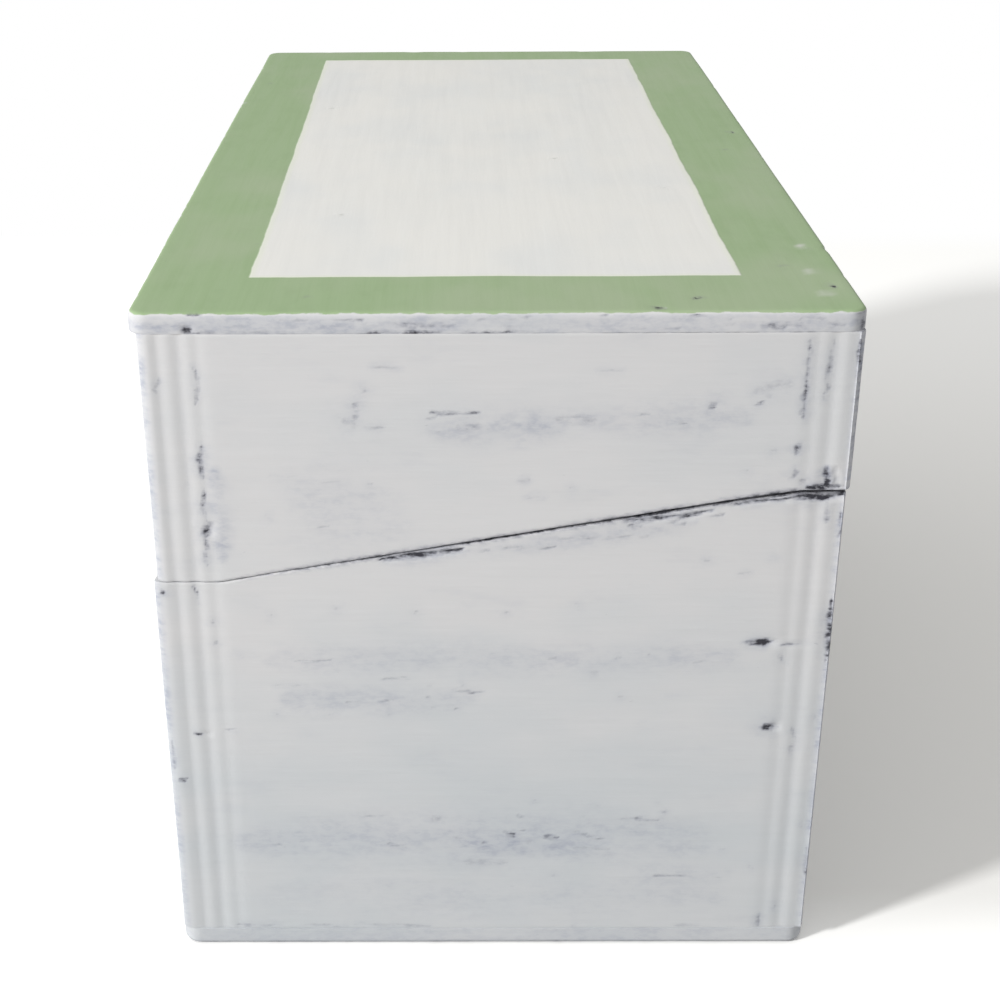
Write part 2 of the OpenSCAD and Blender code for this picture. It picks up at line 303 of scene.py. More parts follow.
def filled_with_paint(plan, shift):
    """The plan with its outer side smoothed across the grooves, never beyond the true face."""
    depth = depth_under_face(plan, shift)
    outer = depth < skin
    steps = np.linalg.norm(np.roll(plan, -1, axis=0) - plan, axis=1)
    along = np.cumsum(steps) - steps
    apart = np.abs(along[:, None] - along[None, :])
    apart = np.minimum(apart, steps.sum() - apart)
    reach = (steps + np.roll(steps, 1)) / 2 * outer
    weight = np.exp(-0.5 * (apart / PAINT_SPREAD) ** 2) * reach[None, :]
    even_depth = weight @ depth / np.maximum(weight.sum(axis=1), 1e-9)
    slope = []
    for nudge in ([0.01, 0], [0, 0.01]):
        slope.append(depth_under_face(plan - nudge, shift) - depth_under_face(plan + nudge, shift))
    slope = np.stack(slope, axis=1)
    slope /= np.maximum(np.linalg.norm(slope, axis=1), 1e-9)[:, None]
    return plan + slope * np.where(outer, depth - even_depth, 0)[:, None]


print("paint evens out the reeding over about", PAINT_SPREAD, "mm")

# %% [markdown]
# Where the paint is gone is part of this box's look, so its scuffs are listed one by one. Each is a
# short stroke: two ends in mm, a radius and a strength. Strong strokes bare the dark coat, weak
# ones only thin the white. The photographed end has the most; the other faces, which nobody
# sees here, get strokes of the same kind scattered from a seed.

# %% Scuffs on the right-hand end, in mm across (front to back) and up
lid_end_scuffs = [
    # The groove beside the front reeding
    (-35.2, 85.5, -35.2, 80.5, 0.45, 0.55), (-35.3, 75.2, -35.2, 71.0, 0.5, 0.95),
    (-35.2, 69.5, -35.2, 65.3, 0.45, 0.75), (-35.0, 64.5, -35.0, 63.5, 0.6, 1.1),
    (-35.2, 63.0, -35.2, 59.0, 0.45, 0.6), (-39.7, 84.0, -39.7, 82.0, 0.4, 0.5),
    # The front half of the flat
    (-15.5, 82.2, -15.5, 82.2, 0.5, 0.6), (-16.5, 80.2, -16.4, 80.6, 0.45, 0.8),
    (-16.9, 78.7, -16.7, 78.9, 0.45, 0.8), (-18.5, 78.6, -16.5, 77.9, 0.8, 0.4),
    (-16.0, 77.7, -13.0, 77.7, 0.3, 0.5), (-15.0, 85.2, -11.0, 85.1, 0.25, 0.45),
    (-8.0, 79.6, -1.7, 79.4, 0.3, 0.85), (-8.2, 78.7, -7.6, 78.7, 0.4, 0.65),
    (-6.8, 76.8, -6.6, 76.8, 0.4, 0.5), (-5.0, 77.6, -1.0, 77.4, 0.8, 0.45),
    (-15.3, 70.0, -15.0, 70.0, 0.35, 0.45), (-28.3, 66.0, -27.0, 65.2, 0.35, 0.5),
    (-21.8, 64.3, -20.2, 64.5, 0.3, 0.5), (-27.0, 71.3, -23.5, 71.3, 0.25, 0.35),
    (-22.0, 70.5, -17.0, 70.5, 0.25, 0.35),
    # The back half of the flat
    (25.7, 80.3, 25.8, 80.3, 0.65, 0.75), (31.0, 80.3, 31.2, 80.4, 0.4, 0.65),
    (31.7, 81.3, 31.8, 81.5, 0.4, 0.6), (30.0, 82.0, 34.5, 83.0, 0.9, 0.42),
    (6.7, 78.6, 12.0, 78.4, 0.9, 0.42), (10.3, 78.2, 12.0, 78.2, 0.4, 0.65),
    (16.5, 79.3, 18.0, 79.3, 0.3, 0.55), (21.0, 78.0, 22.5, 78.0, 0.3, 0.55),
    (11.7, 84.8, 15.0, 84.8, 0.25, 0.5), (32.8, 74.2, 33.0, 74.2, 0.35, 0.6),
    (29.8, 71.6, 30.0, 71.6, 0.3, 0.5), (2.5, 70.7, 4.0, 70.7, 0.4, 0.5),
    (8.8, 69.6, 9.0, 69.6, 0.3, 0.45), (3.7, 68.4, 6.3, 68.4, 0.3, 0.45),
    # The back reeding
    (36.3, 88.6, 36.3, 78.0, 0.4, 0.8), (35.9, 75.3, 35.9, 74.0, 0.5, 0.95),
    (35.7, 72.0, 35.6, 70.7, 0.5, 0.85), (37.0, 70.3, 37.2, 70.3, 0.45, 0.8),
    (38.7, 88.6, 38.7, 80.6, 0.4, 0.55), (42.2, 88.4, 42.2, 80.7, 0.5, 0.7),
    (42.5, 80.7, 42.6, 70.5, 0.25, 0.6), (39.7, 72.2, 39.7, 69.6, 0.4, 1.5),
    (37.5, 69.5, 41.6, 69.5, 0.35, 1.3),
]
base_end_scuffs = [
    # Along the cut
    (-14.0, 59.7, -4.0, 61.4, 0.5, 1.3), (-5.0, 60.9, -0.7, 61.1, 0.3, 0.65),
    (1.0, 61.5, 7.3, 61.6, 0.3, 0.55), (6.7, 62.8, 18.7, 62.9, 0.3, 0.5),
    (16.0, 64.3, 18.0, 64.3, 0.4, 0.75), (15.0, 64.7, 23.0, 64.8, 0.3, 0.55),
    (16.0, 64.9, 26.0, 66.4, 0.4, 1.1), (25.3, 65.7, 27.7, 65.8, 0.3, 0.55),
    (28.0, 67.2, 36.7, 68.3, 0.35, 1.0), (36.0, 68.2, 41.6, 68.3, 0.55, 1.5),
    (-41.3, 55.4, -41.2, 55.3, 0.4, 0.85),
    (-37.0, 56.3, -37.0, 54.3, 0.25, 0.8),
    # The upper part of the flat
    (-19.7, 52.7, -19.5, 52.7, 0.35, 0.5), (-28.0, 51.8, -27.8, 51.8, 0.35, 0.5),
    (-9.8, 52.2, -9.6, 52.2, 0.3, 0.45), (0.9, 52.5, 1.9, 51.9, 0.3, 0.5),
    (-35.0, 51.3, -35.0, 51.2, 0.4, 0.6), (-35.3, 48.2, -35.3, 48.1, 0.4, 0.6),
    (-32.3, 46.3, -32.1, 46.3, 0.3, 0.5), (-25.0, 45.4, -20.5, 45.4, 0.3, 0.5),
    (-0.3, 46.2, 0.0, 46.2, 0.35, 0.5), (25.7, 59.7, 25.9, 59.7, 0.35, 0.5),
    (29.7, 57.6, 31.7, 57.6, 0.25, 0.5), (34.0, 60.0, 34.2, 60.0, 0.3, 0.45),
    (10.2, 53.5, 10.4, 53.5, 0.3, 0.4),
    # A crack that starts wide beside the back reeding and runs through it
    (31.2, 47.9, 34.6, 47.8, 0.42, 1.3), (34.6, 47.8, 40.0, 47.6, 0.16, 1.0),
    (36.2, 46.0, 36.3, 45.6, 0.4, 0.6),
    # The middle of the flat
    (19.3, 46.1, 19.6, 46.1, 0.35, 0.6), (15.3, 45.7, 15.6, 45.7, 0.35, 0.55),
    (12.0, 43.5, 13.4, 43.4, 0.35, 0.55), (6.7, 45.5, 8.0, 45.5, 0.35, 0.5),
    (25.0, 45.2, 28.7, 45.3, 0.25, 0.55), (15.7, 39.9, 15.9, 39.9, 0.35, 0.5),
    (-28.3, 41.7, -24.0, 41.7, 0.25, 0.5), (-14.3, 42.7, -10.0, 42.7, 0.3, 0.5),
    (-5.5, 40.8, -1.5, 40.8, 0.35, 0.65), (-4.2, 41.9, -3.9, 41.9, 0.35, 0.6),
    (-19.0, 39.2, -16.3, 39.2, 0.3, 0.6), (-15.0, 39.3, -13.0, 39.3, 0.3, 0.6),
    (-8.7, 41.5, -8.5, 41.5, 0.35, 0.6), (-8.7, 39.7, -8.5, 39.7, 0.35, 0.6),
    (-8.3, 38.3, -8.0, 38.3, 0.3, 0.6), (-5.0, 38.3, -4.6, 38.3, 0.3, 0.55),
    (-21.3, 37.2, -21.0, 37.2, 0.3, 0.5), (-27.7, 37.4, -27.4, 37.4, 0.3, 0.5),
    (-13.7, 37.3, -13.4, 37.3, 0.3, 0.5), (-39.0, 34.4, -37.3, 34.4, 0.3, 1.0),
    (-34.5, 34.9, -33.0, 34.9, 0.3, 0.6), (35.0, 35.3, 35.3, 35.2, 0.55, 2.0),
    # The lower part of the flat
    (-17.7, 21.2, -13.0, 21.2, 0.3, 0.5), (-8.2, 21.2, -7.2, 21.2, 0.6, 0.5),
    (-29.5, 16.7, -27.5, 16.3, 0.3, 0.7), (-25.3, 17.2, -25.0, 17.2, 0.35, 0.6),
    (-14.3, 17.0, -11.3, 16.3, 0.3, 0.7), (-4.7, 17.7, -4.4, 17.7, 0.4, 0.6),
    (-1.3, 17.0, -1.0, 17.0, 0.4, 0.6), (1.3, 19.0, 1.6, 19.0, 0.4, 0.7),
    (-3.7, 13.8, 1.7, 13.9, 0.8, 0.4), (2.1, 18.3, 2.5, 18.2, 0.5, 0.85),
    (3.8, 19.0, 4.1, 19.0, 0.4, 0.75), (4.2, 17.0, 4.6, 17.0, 0.4, 0.75),
    (6.9, 18.0, 8.3, 18.0, 0.5, 0.75), (10.7, 19.0, 14.7, 17.6, 0.35, 0.6),
    (10.3, 16.0, 15.0, 16.0, 0.35, 0.6), (14.6, 14.8, 14.9, 14.8, 0.35, 0.5),
    (3.2, 21.6, 4.2, 21.0, 0.3, 0.6), (11.7, 21.3, 12.0, 21.3, 0.3, 0.5),
    (13.3, 23.0, 13.6, 23.0, 0.3, 0.5), (15.7, 20.8, 22.0, 20.8, 0.25, 0.6),
    (18.4, 20.9, 19.6, 20.8, 0.3, 0.9), (22.3, 21.8, 22.6, 21.8, 0.35, 0.7),
    (21.2, 23.5, 21.4, 23.5, 0.3, 0.5), (5.3, 23.7, 5.6, 23.7, 0.3, 0.5),
    (30.4, 15.7, 30.7, 15.7, 0.35, 0.5), (34.2, 13.0, 34.4, 12.8, 0.35, 0.6),
    (31.0, 12.2, 31.3, 12.2, 0.3, 0.55), (21.3, 11.6, 27.0, 11.3, 0.3, 0.7),
    (27.0, 11.4, 30.7, 11.2, 0.2, 0.5), (8.0, 11.5, 8.4, 11.5, 0.35, 0.5),
    (2.6, 9.6, 2.9, 9.6, 0.3, 0.4), (6.6, 9.3, 6.9, 9.3, 0.3, 0.4),
    # Along the bottom panel
    (-35.0, 3.3, -29.0, 3.3, 0.35, 0.5), (-33.6, 3.2, -33.3, 3.2, 0.4, 0.6),
    (-26.0, 3.2, -20.0, 3.1, 0.35, 0.5), (-19.0, 3.3, -8.7, 3.2, 0.4, 0.55),
    (24.7, 3.1, 28.0, 3.1, 0.35, 0.4), (10.8, 3.3, 11.2, 3.2, 0.35, 0.4),
    # The back reeding and the back edge
    (36.1, 5.0, 36.1, 3.0, 0.45, 0.8), (38.2, 6.5, 38.2, 6.1, 0.4, 0.6),
    (38.5, 35.0, 38.5, 30.7, 0.4, 0.55), (40.0, 68.0, 40.0, 64.7, 0.3, 0.6),
    (41.7, 67.0, 41.8, 63.0, 0.3, 0.6), (41.7, 54.0, 41.8, 45.3, 0.6, 0.95),
    (41.8, 16.3, 41.8, 11.3, 0.5, 0.65), (40.5, 19.8, 40.6, 19.6, 0.3, 0.6),
    (42.0, 20.8, 42.1, 20.6, 0.3, 0.6), (41.0, 36.8, 41.1, 36.6, 0.3, 0.6),
    # The front edge
    (-41.2, 27.4, -40.6, 27.3, 0.4, 0.95), (-41.5, 33.3, -41.5, 28.7, 0.3, 0.7),
]
# Broad places where the white is thin and the dark coat cools it
thin_places = [
    (-24.0, 70.0, -12.0, 64.0, 5.5, 0.35), (-8.0, 77.5, 8.0, 78.0, 2.4, 0.8),
    (10.0, 78.5, 30.0, 78.8, 2.2, 0.5), (-33.6, 72.0, -33.4, 60.0, 1.4, 0.8),
    (-28.0, 45.5, 30.0, 45.8, 2.6, 0.45), (-27.0, 39.5, -3.0, 39.8, 2.2, 0.55),
    (3.0, 61.5, 24.0, 65.0, 1.6, 0.5), (-33.0, 17.0, 28.0, 17.5, 4.5, 0.6),
    (-4.0, 17.0, 15.0, 17.5, 3.2, 1.0), (-30.0, 8.0, 30.0, 8.0, 4.0, 0.3),
    (19.0, 11.5, 31.0, 11.3, 2.2, 0.4), (-8.0, 60.5, 6.0, 62.0, 1.2, 0.3),
]
print(len(lid_end_scuffs), "scuffs on the lid's end and", len(base_end_scuffs), "on the base's end")

# %% Lay strokes on a face


def strong_ones(strokes, least):
    return [stroke for stroke in strokes if stroke[5] > least]


def stroke_strength(across, height, strokes, spread=1.0):
    """How strongly the strongest stroke works at each place of a face. Strokes taper and waver."""
    flat_places = np.column_stack((across, height, np.zeros(len(across))))
    # They stray by up to 0.4 mm, and are broken up along their length
    across = across + 0.8 * (smooth_noise(flat_places, (1.7, 1.1, 1), 51) - 0.5)
    height = height + 0.5 * (smooth_noise(flat_places, (2.6, 1.1, 1), 52) - 0.5)
    broken = 0.6 + 0.8 * smooth_noise(flat_places, (1.4, 0.7, 1), 53)
    strength = np.zeros(len(across))
    for start_across, start_height, end_across, end_height, radius, force in strokes:
        run = np.array((end_across - start_across, end_height - start_height))
        length_squared = max(float(run @ run), 1e-9)
        along = ((across - start_across) * run[0] + (height - start_height) * run[1]) / length_squared
        along = np.clip(along, 0, 1)
        away = np.hypot(across - start_across - along * run[0], height - start_height - along * run[1])
        is_long = length_squared > 4 * radius * radius
        taper = 0.4 + 0.6 * np.sqrt(4 * along * (1 - along)) if is_long else 1.0
        strength = np.maximum(strength, force * np.exp(-(away / (radius * spread * taper)) ** 2))
    return strength * (broken if spread == 1.0 else 1.0)


def scattered_strokes(seed, low, high, count):
    """Short level scuffs, a few long streaks and some specks, between two corners of a face."""
    dice = np.random.default_rng(seed)
    strokes = []
    for _ in range(count):
        across = dice.uniform(low[0], high[0])
        height = dice.uniform(low[1], high[1])
        length = dice.choice([0.3, 1.5, 4.0, 8.0], p=[0.5, 0.25, 0.17, 0.08])
        rise = dice.normal(0, 0.06) * length
        strokes.append((across, height, across + length, height + rise,
                        dice.uniform(0.35, 0.6), dice.uniform(0.5, 1.0)))
    return strokes


def scattered_thin_places(seed, low, high, count):
    """Broad level places where the white is thin."""
    dice = np.random.default_rng(seed)
    places = []
    for _ in range(count):
        across = dice.uniform(low[0], high[0])
        height = dice.uniform(low[1], high[1])
        places.append((across, height, across + dice.uniform(15, 45), height + dice.normal(0, 0.6),
                       dice.uniform(1.5, 4.0), dice.uniform(0.3, 0.7)))
    return places


face_strokes = {
    "right_end": (lid_end_scuffs + base_end_scuffs, thin_places),
    "left_end": (scattered_strokes(11, (-41, 4), (36, 88), 110),
                 scattered_thin_places(12, (-42, 4), (20, 88), 12)),
    "front": (scattered_strokes(21, (-76, 4), (72, 88), 190),
              scattered_thin_places(22, (-76, 4), (50, 88), 20)),
    "back": (scattered_strokes(31, (-76, 4), (72, 88), 190),
             scattered_thin_places(32, (-76, 4), (50, 88), 20)),
}
for face, (strokes, places) in face_strokes.items():
    print(face, len(strokes), "strokes,", len(places), "thin places")

# %% [markdown]
# One function builds every board. It runs the plan up in rows, sets the rows closer towards the
# edges so that a worn arris has points to stand on, and closes both ends with a cap. Waves and dents
# only ever go into the wood, so the board never grows. Two numbers ride on each point for the
# paint: how worn it is and how thin the white is. In the grooves both also carry painted shade, and
# the thinned white carries it on the corner beads too. Two more ride on each face: whether it is
# bare wood inside the box, and whether it is a rim, where the dark coat shows.

# %% Build a worn board
# How far these rows stand from an edge, in mm
edge_rows = np.array([0.0, 0.15, 0.35, 0.6, 0.95, 1.4])
# Faces that meet at a wider turn than this keep a sharp edge between them
sharp_turn = math.radians(38)


def row_heights(low, high, step):
    """Heights of the rows over each plan point, close together near both edges."""
    middle_count = max(2, round(float(np.max(high - low)) / step))
    fractions = np.arange(1, middle_count) / middle_count
    first, last = low + edge_rows[-1], high - edge_rows[-1]
    rows = [low + d for d in edge_rows]
    rows += [first + (last - first) * f for f in fractions]
    rows += [high - d for d in edge_rows[::-1]]
    return np.array(rows)


def closed_mesh(name, rings, low_cap, high_cap, point_fields, face_fields):
    """Joins rings of points into a tube, closes it with two caps, and stores the fields."""
    count = rings.shape[1]
    points = [rings.reshape(-1, 3)]
    total = rings.shape[0] * count
    faces = []
    for row in range(rings.shape[0] - 1):
        here = row * count + np.arange(count)
        after = row * count + (np.arange(count) + 1) % count
        faces.append(np.stack((here, after, after + count, here + count), axis=1))
    faces = [tuple(face) for face in np.concatenate(faces).tolist()]
    for cap, ring_start, turned in ((low_cap, 0, True), (high_cap, total - count, False)):
        inner_points, triangles = cap
        for triangle in triangles:
            corners = [ring_start + i if i < count else total + i - count for i in triangle]
            faces.append(tuple(reversed(corners)) if turned else tuple(corners))
        points.append(inner_points)
        total += len(inner_points)
    places = np.concatenate(points)
    mesh = bpy.data.meshes.new(name)
    mesh.from_pydata((places * MM).tolist(), [], faces)
    mesh.update()
    middles = np.empty(len(mesh.polygons) * 3, dtype=np.float32)
    mesh.polygons.foreach_get("center", middles)
    on_cap = np.arange(len(mesh.polygons)) >= (rings.shape[0] - 1) * count
    middles = middles.reshape(-1, 3).astype(float) / MM
    for domain, fields in (("POINT", point_fields(places)), ("FACE", face_fields(middles, on_cap))):
        for label, values in fields.items():
            stored = mesh.attributes.new(label, "FLOAT", domain)
            stored.data.foreach_set("value", values.astype(np.float32))
    mesh.shade_smooth()
    mesh.set_sharp_from_angle(angle=sharp_turn)
    piece = bpy.data.objects.new(name, mesh)
    scene.collection.objects.link(piece)
    return piece


print("rows near an edge at", edge_rows.tolist(), "mm")

# %% Close the end of a board


def inside_the_ring(triangles, count):
    """Keeps the triangles that can be reached from the middle without crossing an edge of the ring."""
    sides = [[frozenset(pair) for pair in zip(t, t[1:] + t[:1])] for t in triangles]
    beside = {}
    for number, edges in enumerate(sides):
        for edge in edges:
            beside.setdefault(edge, []).append(number)
    for i in range(count):
        beside[frozenset((i, (i + 1) % count))] = []
    waiting = [number for number, triangle in enumerate(triangles) if max(triangle) >= count]
    kept = set(waiting)
    while waiting:
        for edge in sides[waiting.pop()]:
            fresh = [number for number in beside[edge] if number not in kept]
            kept.update(fresh)
            waiting += fresh
    return [triangles[number] for number in sorted(kept)]


def cap_over(ring, spacing, height_at):
    """Triangles that close a ring, with points of their own inside it so that it can bend."""
    low, high = ring[:, :2].min(axis=0), ring[:, :2].max(axis=0)
    grid_x = np.arange(low[0] + spacing / 2, high[0], spacing)
    grid_y = np.arange(low[1] + spacing / 2, high[1], spacing)
    grid = np.array([(x, y) for x in grid_x for y in grid_y])
    start, end = ring[:, :2], np.roll(ring[:, :2], -1, axis=0)
    crossings = np.zeros(len(grid), dtype=int)
    nearest = np.full(len(grid), np.inf)
    for (x0, y0), (x1, y1) in zip(start, end):
        spans = (grid[:, 1] < y0) != (grid[:, 1] < y1)
        if y0 != y1:
            crossings += spans & (grid[:, 0] < x0 + (grid[:, 1] - y0) * (x1 - x0) / (y1 - y0))
        nearest = np.minimum(nearest, np.hypot(grid[:, 0] - x0, grid[:, 1] - y0))
    grid = grid[(crossings % 2 == 1) & (nearest > spacing * 0.45)]
    flat = [Vector(p) for p in np.concatenate((start, grid)).tolist()]
    made = delaunay_2d_cdt(flat, [], [list(range(len(ring)))], 1, 1e-7, True)
    sources = [origin[0] for origin in made[3] if origin]
    assert len(sources) == len(made[0]) == len(flat), "the rim crosses itself"
    triangles = inside_the_ring([[sources[i] for i in face] for face in made[2]], len(ring))
    inner = np.column_stack((grid, height_at(grid)))
    return inner, triangles


print("the ends are closed on a grid of points")

# %% The fields that the paint reads


def face_share(places, across_axis):
    """The scuffs of an end stay on that end: 1 on its face, 0 round the corner from it."""
    if across_axis == 0:
        return 1.0
    return soft_step(np.abs(places[:, 0]), half_length - 2.6, half_length - 0.9)


def board_fields(strokes, places_thin, across_axis, shift, low_at, high_at, cut_is_low):
    """Makes the function that gives each point of a board its wear and its thinned white. Both carry some
    painted shade in the grooves, and the white also on the corner beads.
    """

    def fields(places):
        across, height = places[:, across_axis], places[:, 2]
        depth = depth_under_face(places, shift)
        to_low = height - low_at(places[:, 1])
        to_high = high_at(places[:, 1]) - height
        to_cut, to_panel = (to_low, to_high) if cut_is_low else (to_high, to_low)
        outer = depth < skin
        patchy = smooth_noise(places, (5, 5, 5), 3)
        fine = smooth_noise(places, (1.3, 1.3, 0.8), 4)
        own_face = face_share(places, across_axis)
        scuffs = own_face * stroke_strength(across, height, strokes)
        cut_edge = (0.4 + 0.6 * patchy) * np.exp(-to_cut / 0.5)
        cut_edge *= 0.35 + 0.65 * soft_step(places[:, 1], -38.0, -25.0)
        panel_edge = 0.3 * patchy ** 2 * np.exp(-to_panel / 0.2)
        groove = soft_step(depth, 0.15, 0.3)
        # Dark patches in the grooves: partly dirt, partly painted shade
        groove_wear_and_shade = 0.5 * groove * soft_step(patchy, 0.5, 0.85) * (0.5 + fine)
        corner = np.min(np.abs(places[:, :2] - [0, shift]) - [half_length, half_depth], axis=1)
        crest = soft_step(corner, -1.6, -0.5) * (1 - groove)
        here_and_there = soft_step(smooth_noise(places, (9, 9, 14), 5), 0.55, 0.95)
        crest_wear = 0.6 * crest * here_and_there * (0.3 + 1.3 * fine)
        worn = np.maximum.reduce([scuffs, cut_edge, panel_edge, groove_wear_and_shade, crest_wear])
        thin = np.maximum(stroke_strength(across, height, places_thin),
                          0.6 * stroke_strength(across, height, strokes, spread=2.6))
        thin *= own_face
        # The haze in the grooves is partly dirt and partly painted shade; on the corner beads it is painted
        # shade that darkens their highlight
        thin = np.maximum.reduce([thin, 0.3 * groove, 1.1 * soft_step(corner, -1.6, -0.4)])
        return {"worn": np.where(outer, worn, 0), "thin": np.where(outer, thin, 0)}

    return fields


def board_faces(shift):
    """Makes the function that says which faces of a board are bare wood and which are its rims."""

    def fields(middles, on_cap):
        inside = (depth_under_face(middles, shift) > skin) & ~on_cap
        rubbed_more = 0.4 + 0.6 * soft_step(middles[:, 1], -38.0, 0.0)
        return {"bare": inside.astype(float), "rim": on_cap * rubbed_more}

    return fields


print("numbers on points: worn, thin; numbers on faces: bare, rim")

# %% Loft one board
dent_depth = 0.22


def waves(places):
    """How far the brushed surface lies under the true face, from 0 to 0.08 mm."""
    slow = smooth_noise(places, (24, 24, 10), 1)
    brushed = smooth_noise(places, (7, 7, 1.8), 2)
    return 0.06 * slow + 0.02 * brushed


def lofted_board(node, body, plan_height, face, across_axis, step_at, row_step, low_at, high_at, squeeze):
    """A worn board in the place of a frame board. squeeze moves its reeding a little sideways."""
    shift = lid_shift if body == "lid" else 0.0
    plan = clear_of_corners(divided(without_straight_points(level_outline(node, plan_height)), step_at))
    plan = filled_with_paint(plan, shift)
    away = outward(plan)
    heights = row_heights(low_at(plan[:, 1]), high_at(plan[:, 1]), row_step)
    strokes, places_thin = face_strokes[face]
    rings = []
    low_edge, high_edge = low_at(plan[:, 1]), high_at(plan[:, 1])
    outer = depth_under_face(plan, shift) < skin
    for level in heights:
        places = np.column_stack((plan, level))
        to_low, to_high = level - low_edge, high_edge - level
        to_joint, to_cut = (to_low, to_high) if body == "base" else (to_high, to_low)
        wobble = smooth_noise(places, (3, 3, 400), 6)
        arris = np.where(to_cut < to_joint, 0.03 + 0.1 * wobble ** 2, 0.02 + 0.03 * wobble)
        sink = np.where(outer, waves(places), 0) * (0.25 + 0.75 * soft_step(to_joint, 0.0, 4.0))
        dents = stroke_strength(places[:, across_axis], level, strong_ones(strokes, 0.95))
        dents *= face_share(places, across_axis)
        sink += np.where(outer, dent_depth * np.maximum(dents - 0.35, 0), 0)
        inset = np.maximum(arris - np.minimum(to_low, to_high), 0) + sink
        moved = plan - away * inset[:, None]
        moved[:, 1] += squeeze(places)
        rings.append(np.column_stack((moved, level)))
    rings = np.array(rings)
    low_cap = cap_over(rings[0], 2.5, lambda grid: low_at(grid[:, 1]))
    high_cap = cap_over(rings[-1], 2.5, lambda grid: high_at(grid[:, 1]))
    fields = board_fields(strokes, places_thin, across_axis, shift, low_at, high_at, body == "lid")
    piece = closed_mesh("painted_" + node, rings, low_cap, high_cap, fields, board_faces(shift))
    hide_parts(node)
    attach(piece, body)
    print(piece.name, len(piece.data.vertices), "points")
    return piece


print("the strongest scuffs are dents up to about", dent_depth, "mm deep")

# %% [markdown]
# The photographed end is seen closely, so its points stand half a millimetre apart. The other
# faces are coarser. The real maker's cutter also strayed: both strips of reeding on this end lie
# about a millimetre further back than they should, so their points are moved sideways to match.

# %% The eight boards
fine_step, middle_step, hidden_step = 0.45, 1.1, 3.5
boards_top = lid_front_high[2]
boards_bottom = base_front_low[2]


def level_at(height):
    return lambda y: np.full(np.shape(y), float(height))


def end_step(fine):
    def step_at(place):
        if abs(place[0]) > half_length - 0.5:
            return fine
        return middle_step if abs(place[1]) > half_depth - 0.9 else hidden_step
    return step_at


def long_step(place):
    return middle_step if abs(place[1]) > half_depth - 0.9 else hidden_step


def no_squeeze(places):
    return 0.0


def reeding_squeeze(front_move, back_move):
    """Moves the grooves of the right-hand end towards the back, by so much in each strip."""
    def squeeze(places):
        x, y = places[:, 0], places[:, 1]
        front = soft_step(y, -half_depth + 0.1, -half_depth + 1.8) * (1 - soft_step(y, -35.0, -27.0))
        back = soft_step(y, 27.0, 35.0) * (1 - soft_step(y, half_depth - 1.8, half_depth - 0.1))
        on_face = soft_step(x, half_length - 3.5, half_length - 1.2)
        return (front_move * front + back_move * back) * on_face
    return squeeze


def base_and_lid(face, across_axis, step_at, row_step, base_high, lid_low, squeezes=(no_squeeze,) * 2):
    """The two boards of one side, below and above the cut."""
    return [lofted_board(f"base_{face}_board", "base", base_plan_height, face, across_axis, step_at,
                         row_step, level_at(boards_bottom), base_high, squeezes[0]),
            lofted_board(f"lid_{face}_board", "lid", lid_plan_height, face, across_axis, step_at,
                         row_step, lid_low, level_at(boards_top), squeezes[1])]


strayed = reeding_squeeze(1.0, 1.0), reeding_squeeze(0.45, 1.1)
painted_boards = base_and_lid("right_end", 1, end_step(fine_step), 0.5,
                              painted_base_top, painted_lid_bottom, strayed)
painted_boards += base_and_lid("left_end", 1, end_step(middle_step), 1.0,
                               painted_base_top, painted_lid_bottom)
painted_boards += base_and_lid("front", 0, long_step, 1.0,
                               level_at(base_front_high[2]), level_at(lid_front_low[2]))
painted_boards += base_and_lid("back", 0, long_step, 1.0,
                               level_at(base_back_high[2]), level_at(lid_back_low[2]))

# %% [markdown]
# The top is a thin panel glued over the lid, with its upper arris rounded by sandpaper. It is built
# like the boards, but its rows follow the round of the arris, and its cap carries the specks. A few
# are listed one by one, and short level scratches are scattered over the side that is seen.

# %% Scuffs on the top, in mm along and across the box
top_specks = [
    (-8.7, 40.0, -8.3, 40.1, 0.65, 1.7), (3.1, 37.8, 3.3, 37.8, 0.5, 1.0),
    (61.2, 35.9, 61.4, 36.0, 0.55, 1.5), (69.0, 40.1, 69.3, 40.1, 0.6, 1.5),
    (73.0, 23.8, 73.3, 23.9, 0.6, 1.5), (76.3, 18.6, 76.5, 18.9, 0.7, 1.4),
    (54.2, 39.6, 54.2, 41.8, 0.35, 1.3), (44.4, -36.6, 44.7, -36.6, 0.5, 0.95),
    (51.6, -30.4, 51.8, -30.4, 0.5, 0.95), (72.1, -22.0, 72.3, -22.0, 0.6, 1.1),
    (77.6, -34.9, 77.8, -34.5, 0.7, 1.3), (73.8, -35.5, 74.0, -35.5, 0.45, 0.75),
    (-48.0, -39.4, -47.6, -39.4, 0.6, 0.9), (8.2, 10.1, 8.6, 10.1, 0.8, 0.5),
    (24.9, 25.8, 25.4, 25.8, 0.8, 0.5), (-27.3, -26.3, -26.9, -26.3, 0.8, 0.5),
    (31.5, -24.1, 31.8, -24.1, 0.6, 0.5), (38.4, -20.8, 38.7, -20.8, 0.6, 0.5),
]
top_pale_flecks = [
    (53.5, 39.5, 53.9, 39.5, 0.6, 1.0), (63.2, 38.8, 63.6, 38.8, 0.6, 1.0),
    (71.4, 39.0, 71.8, 39.1, 0.6, 1.0),
]
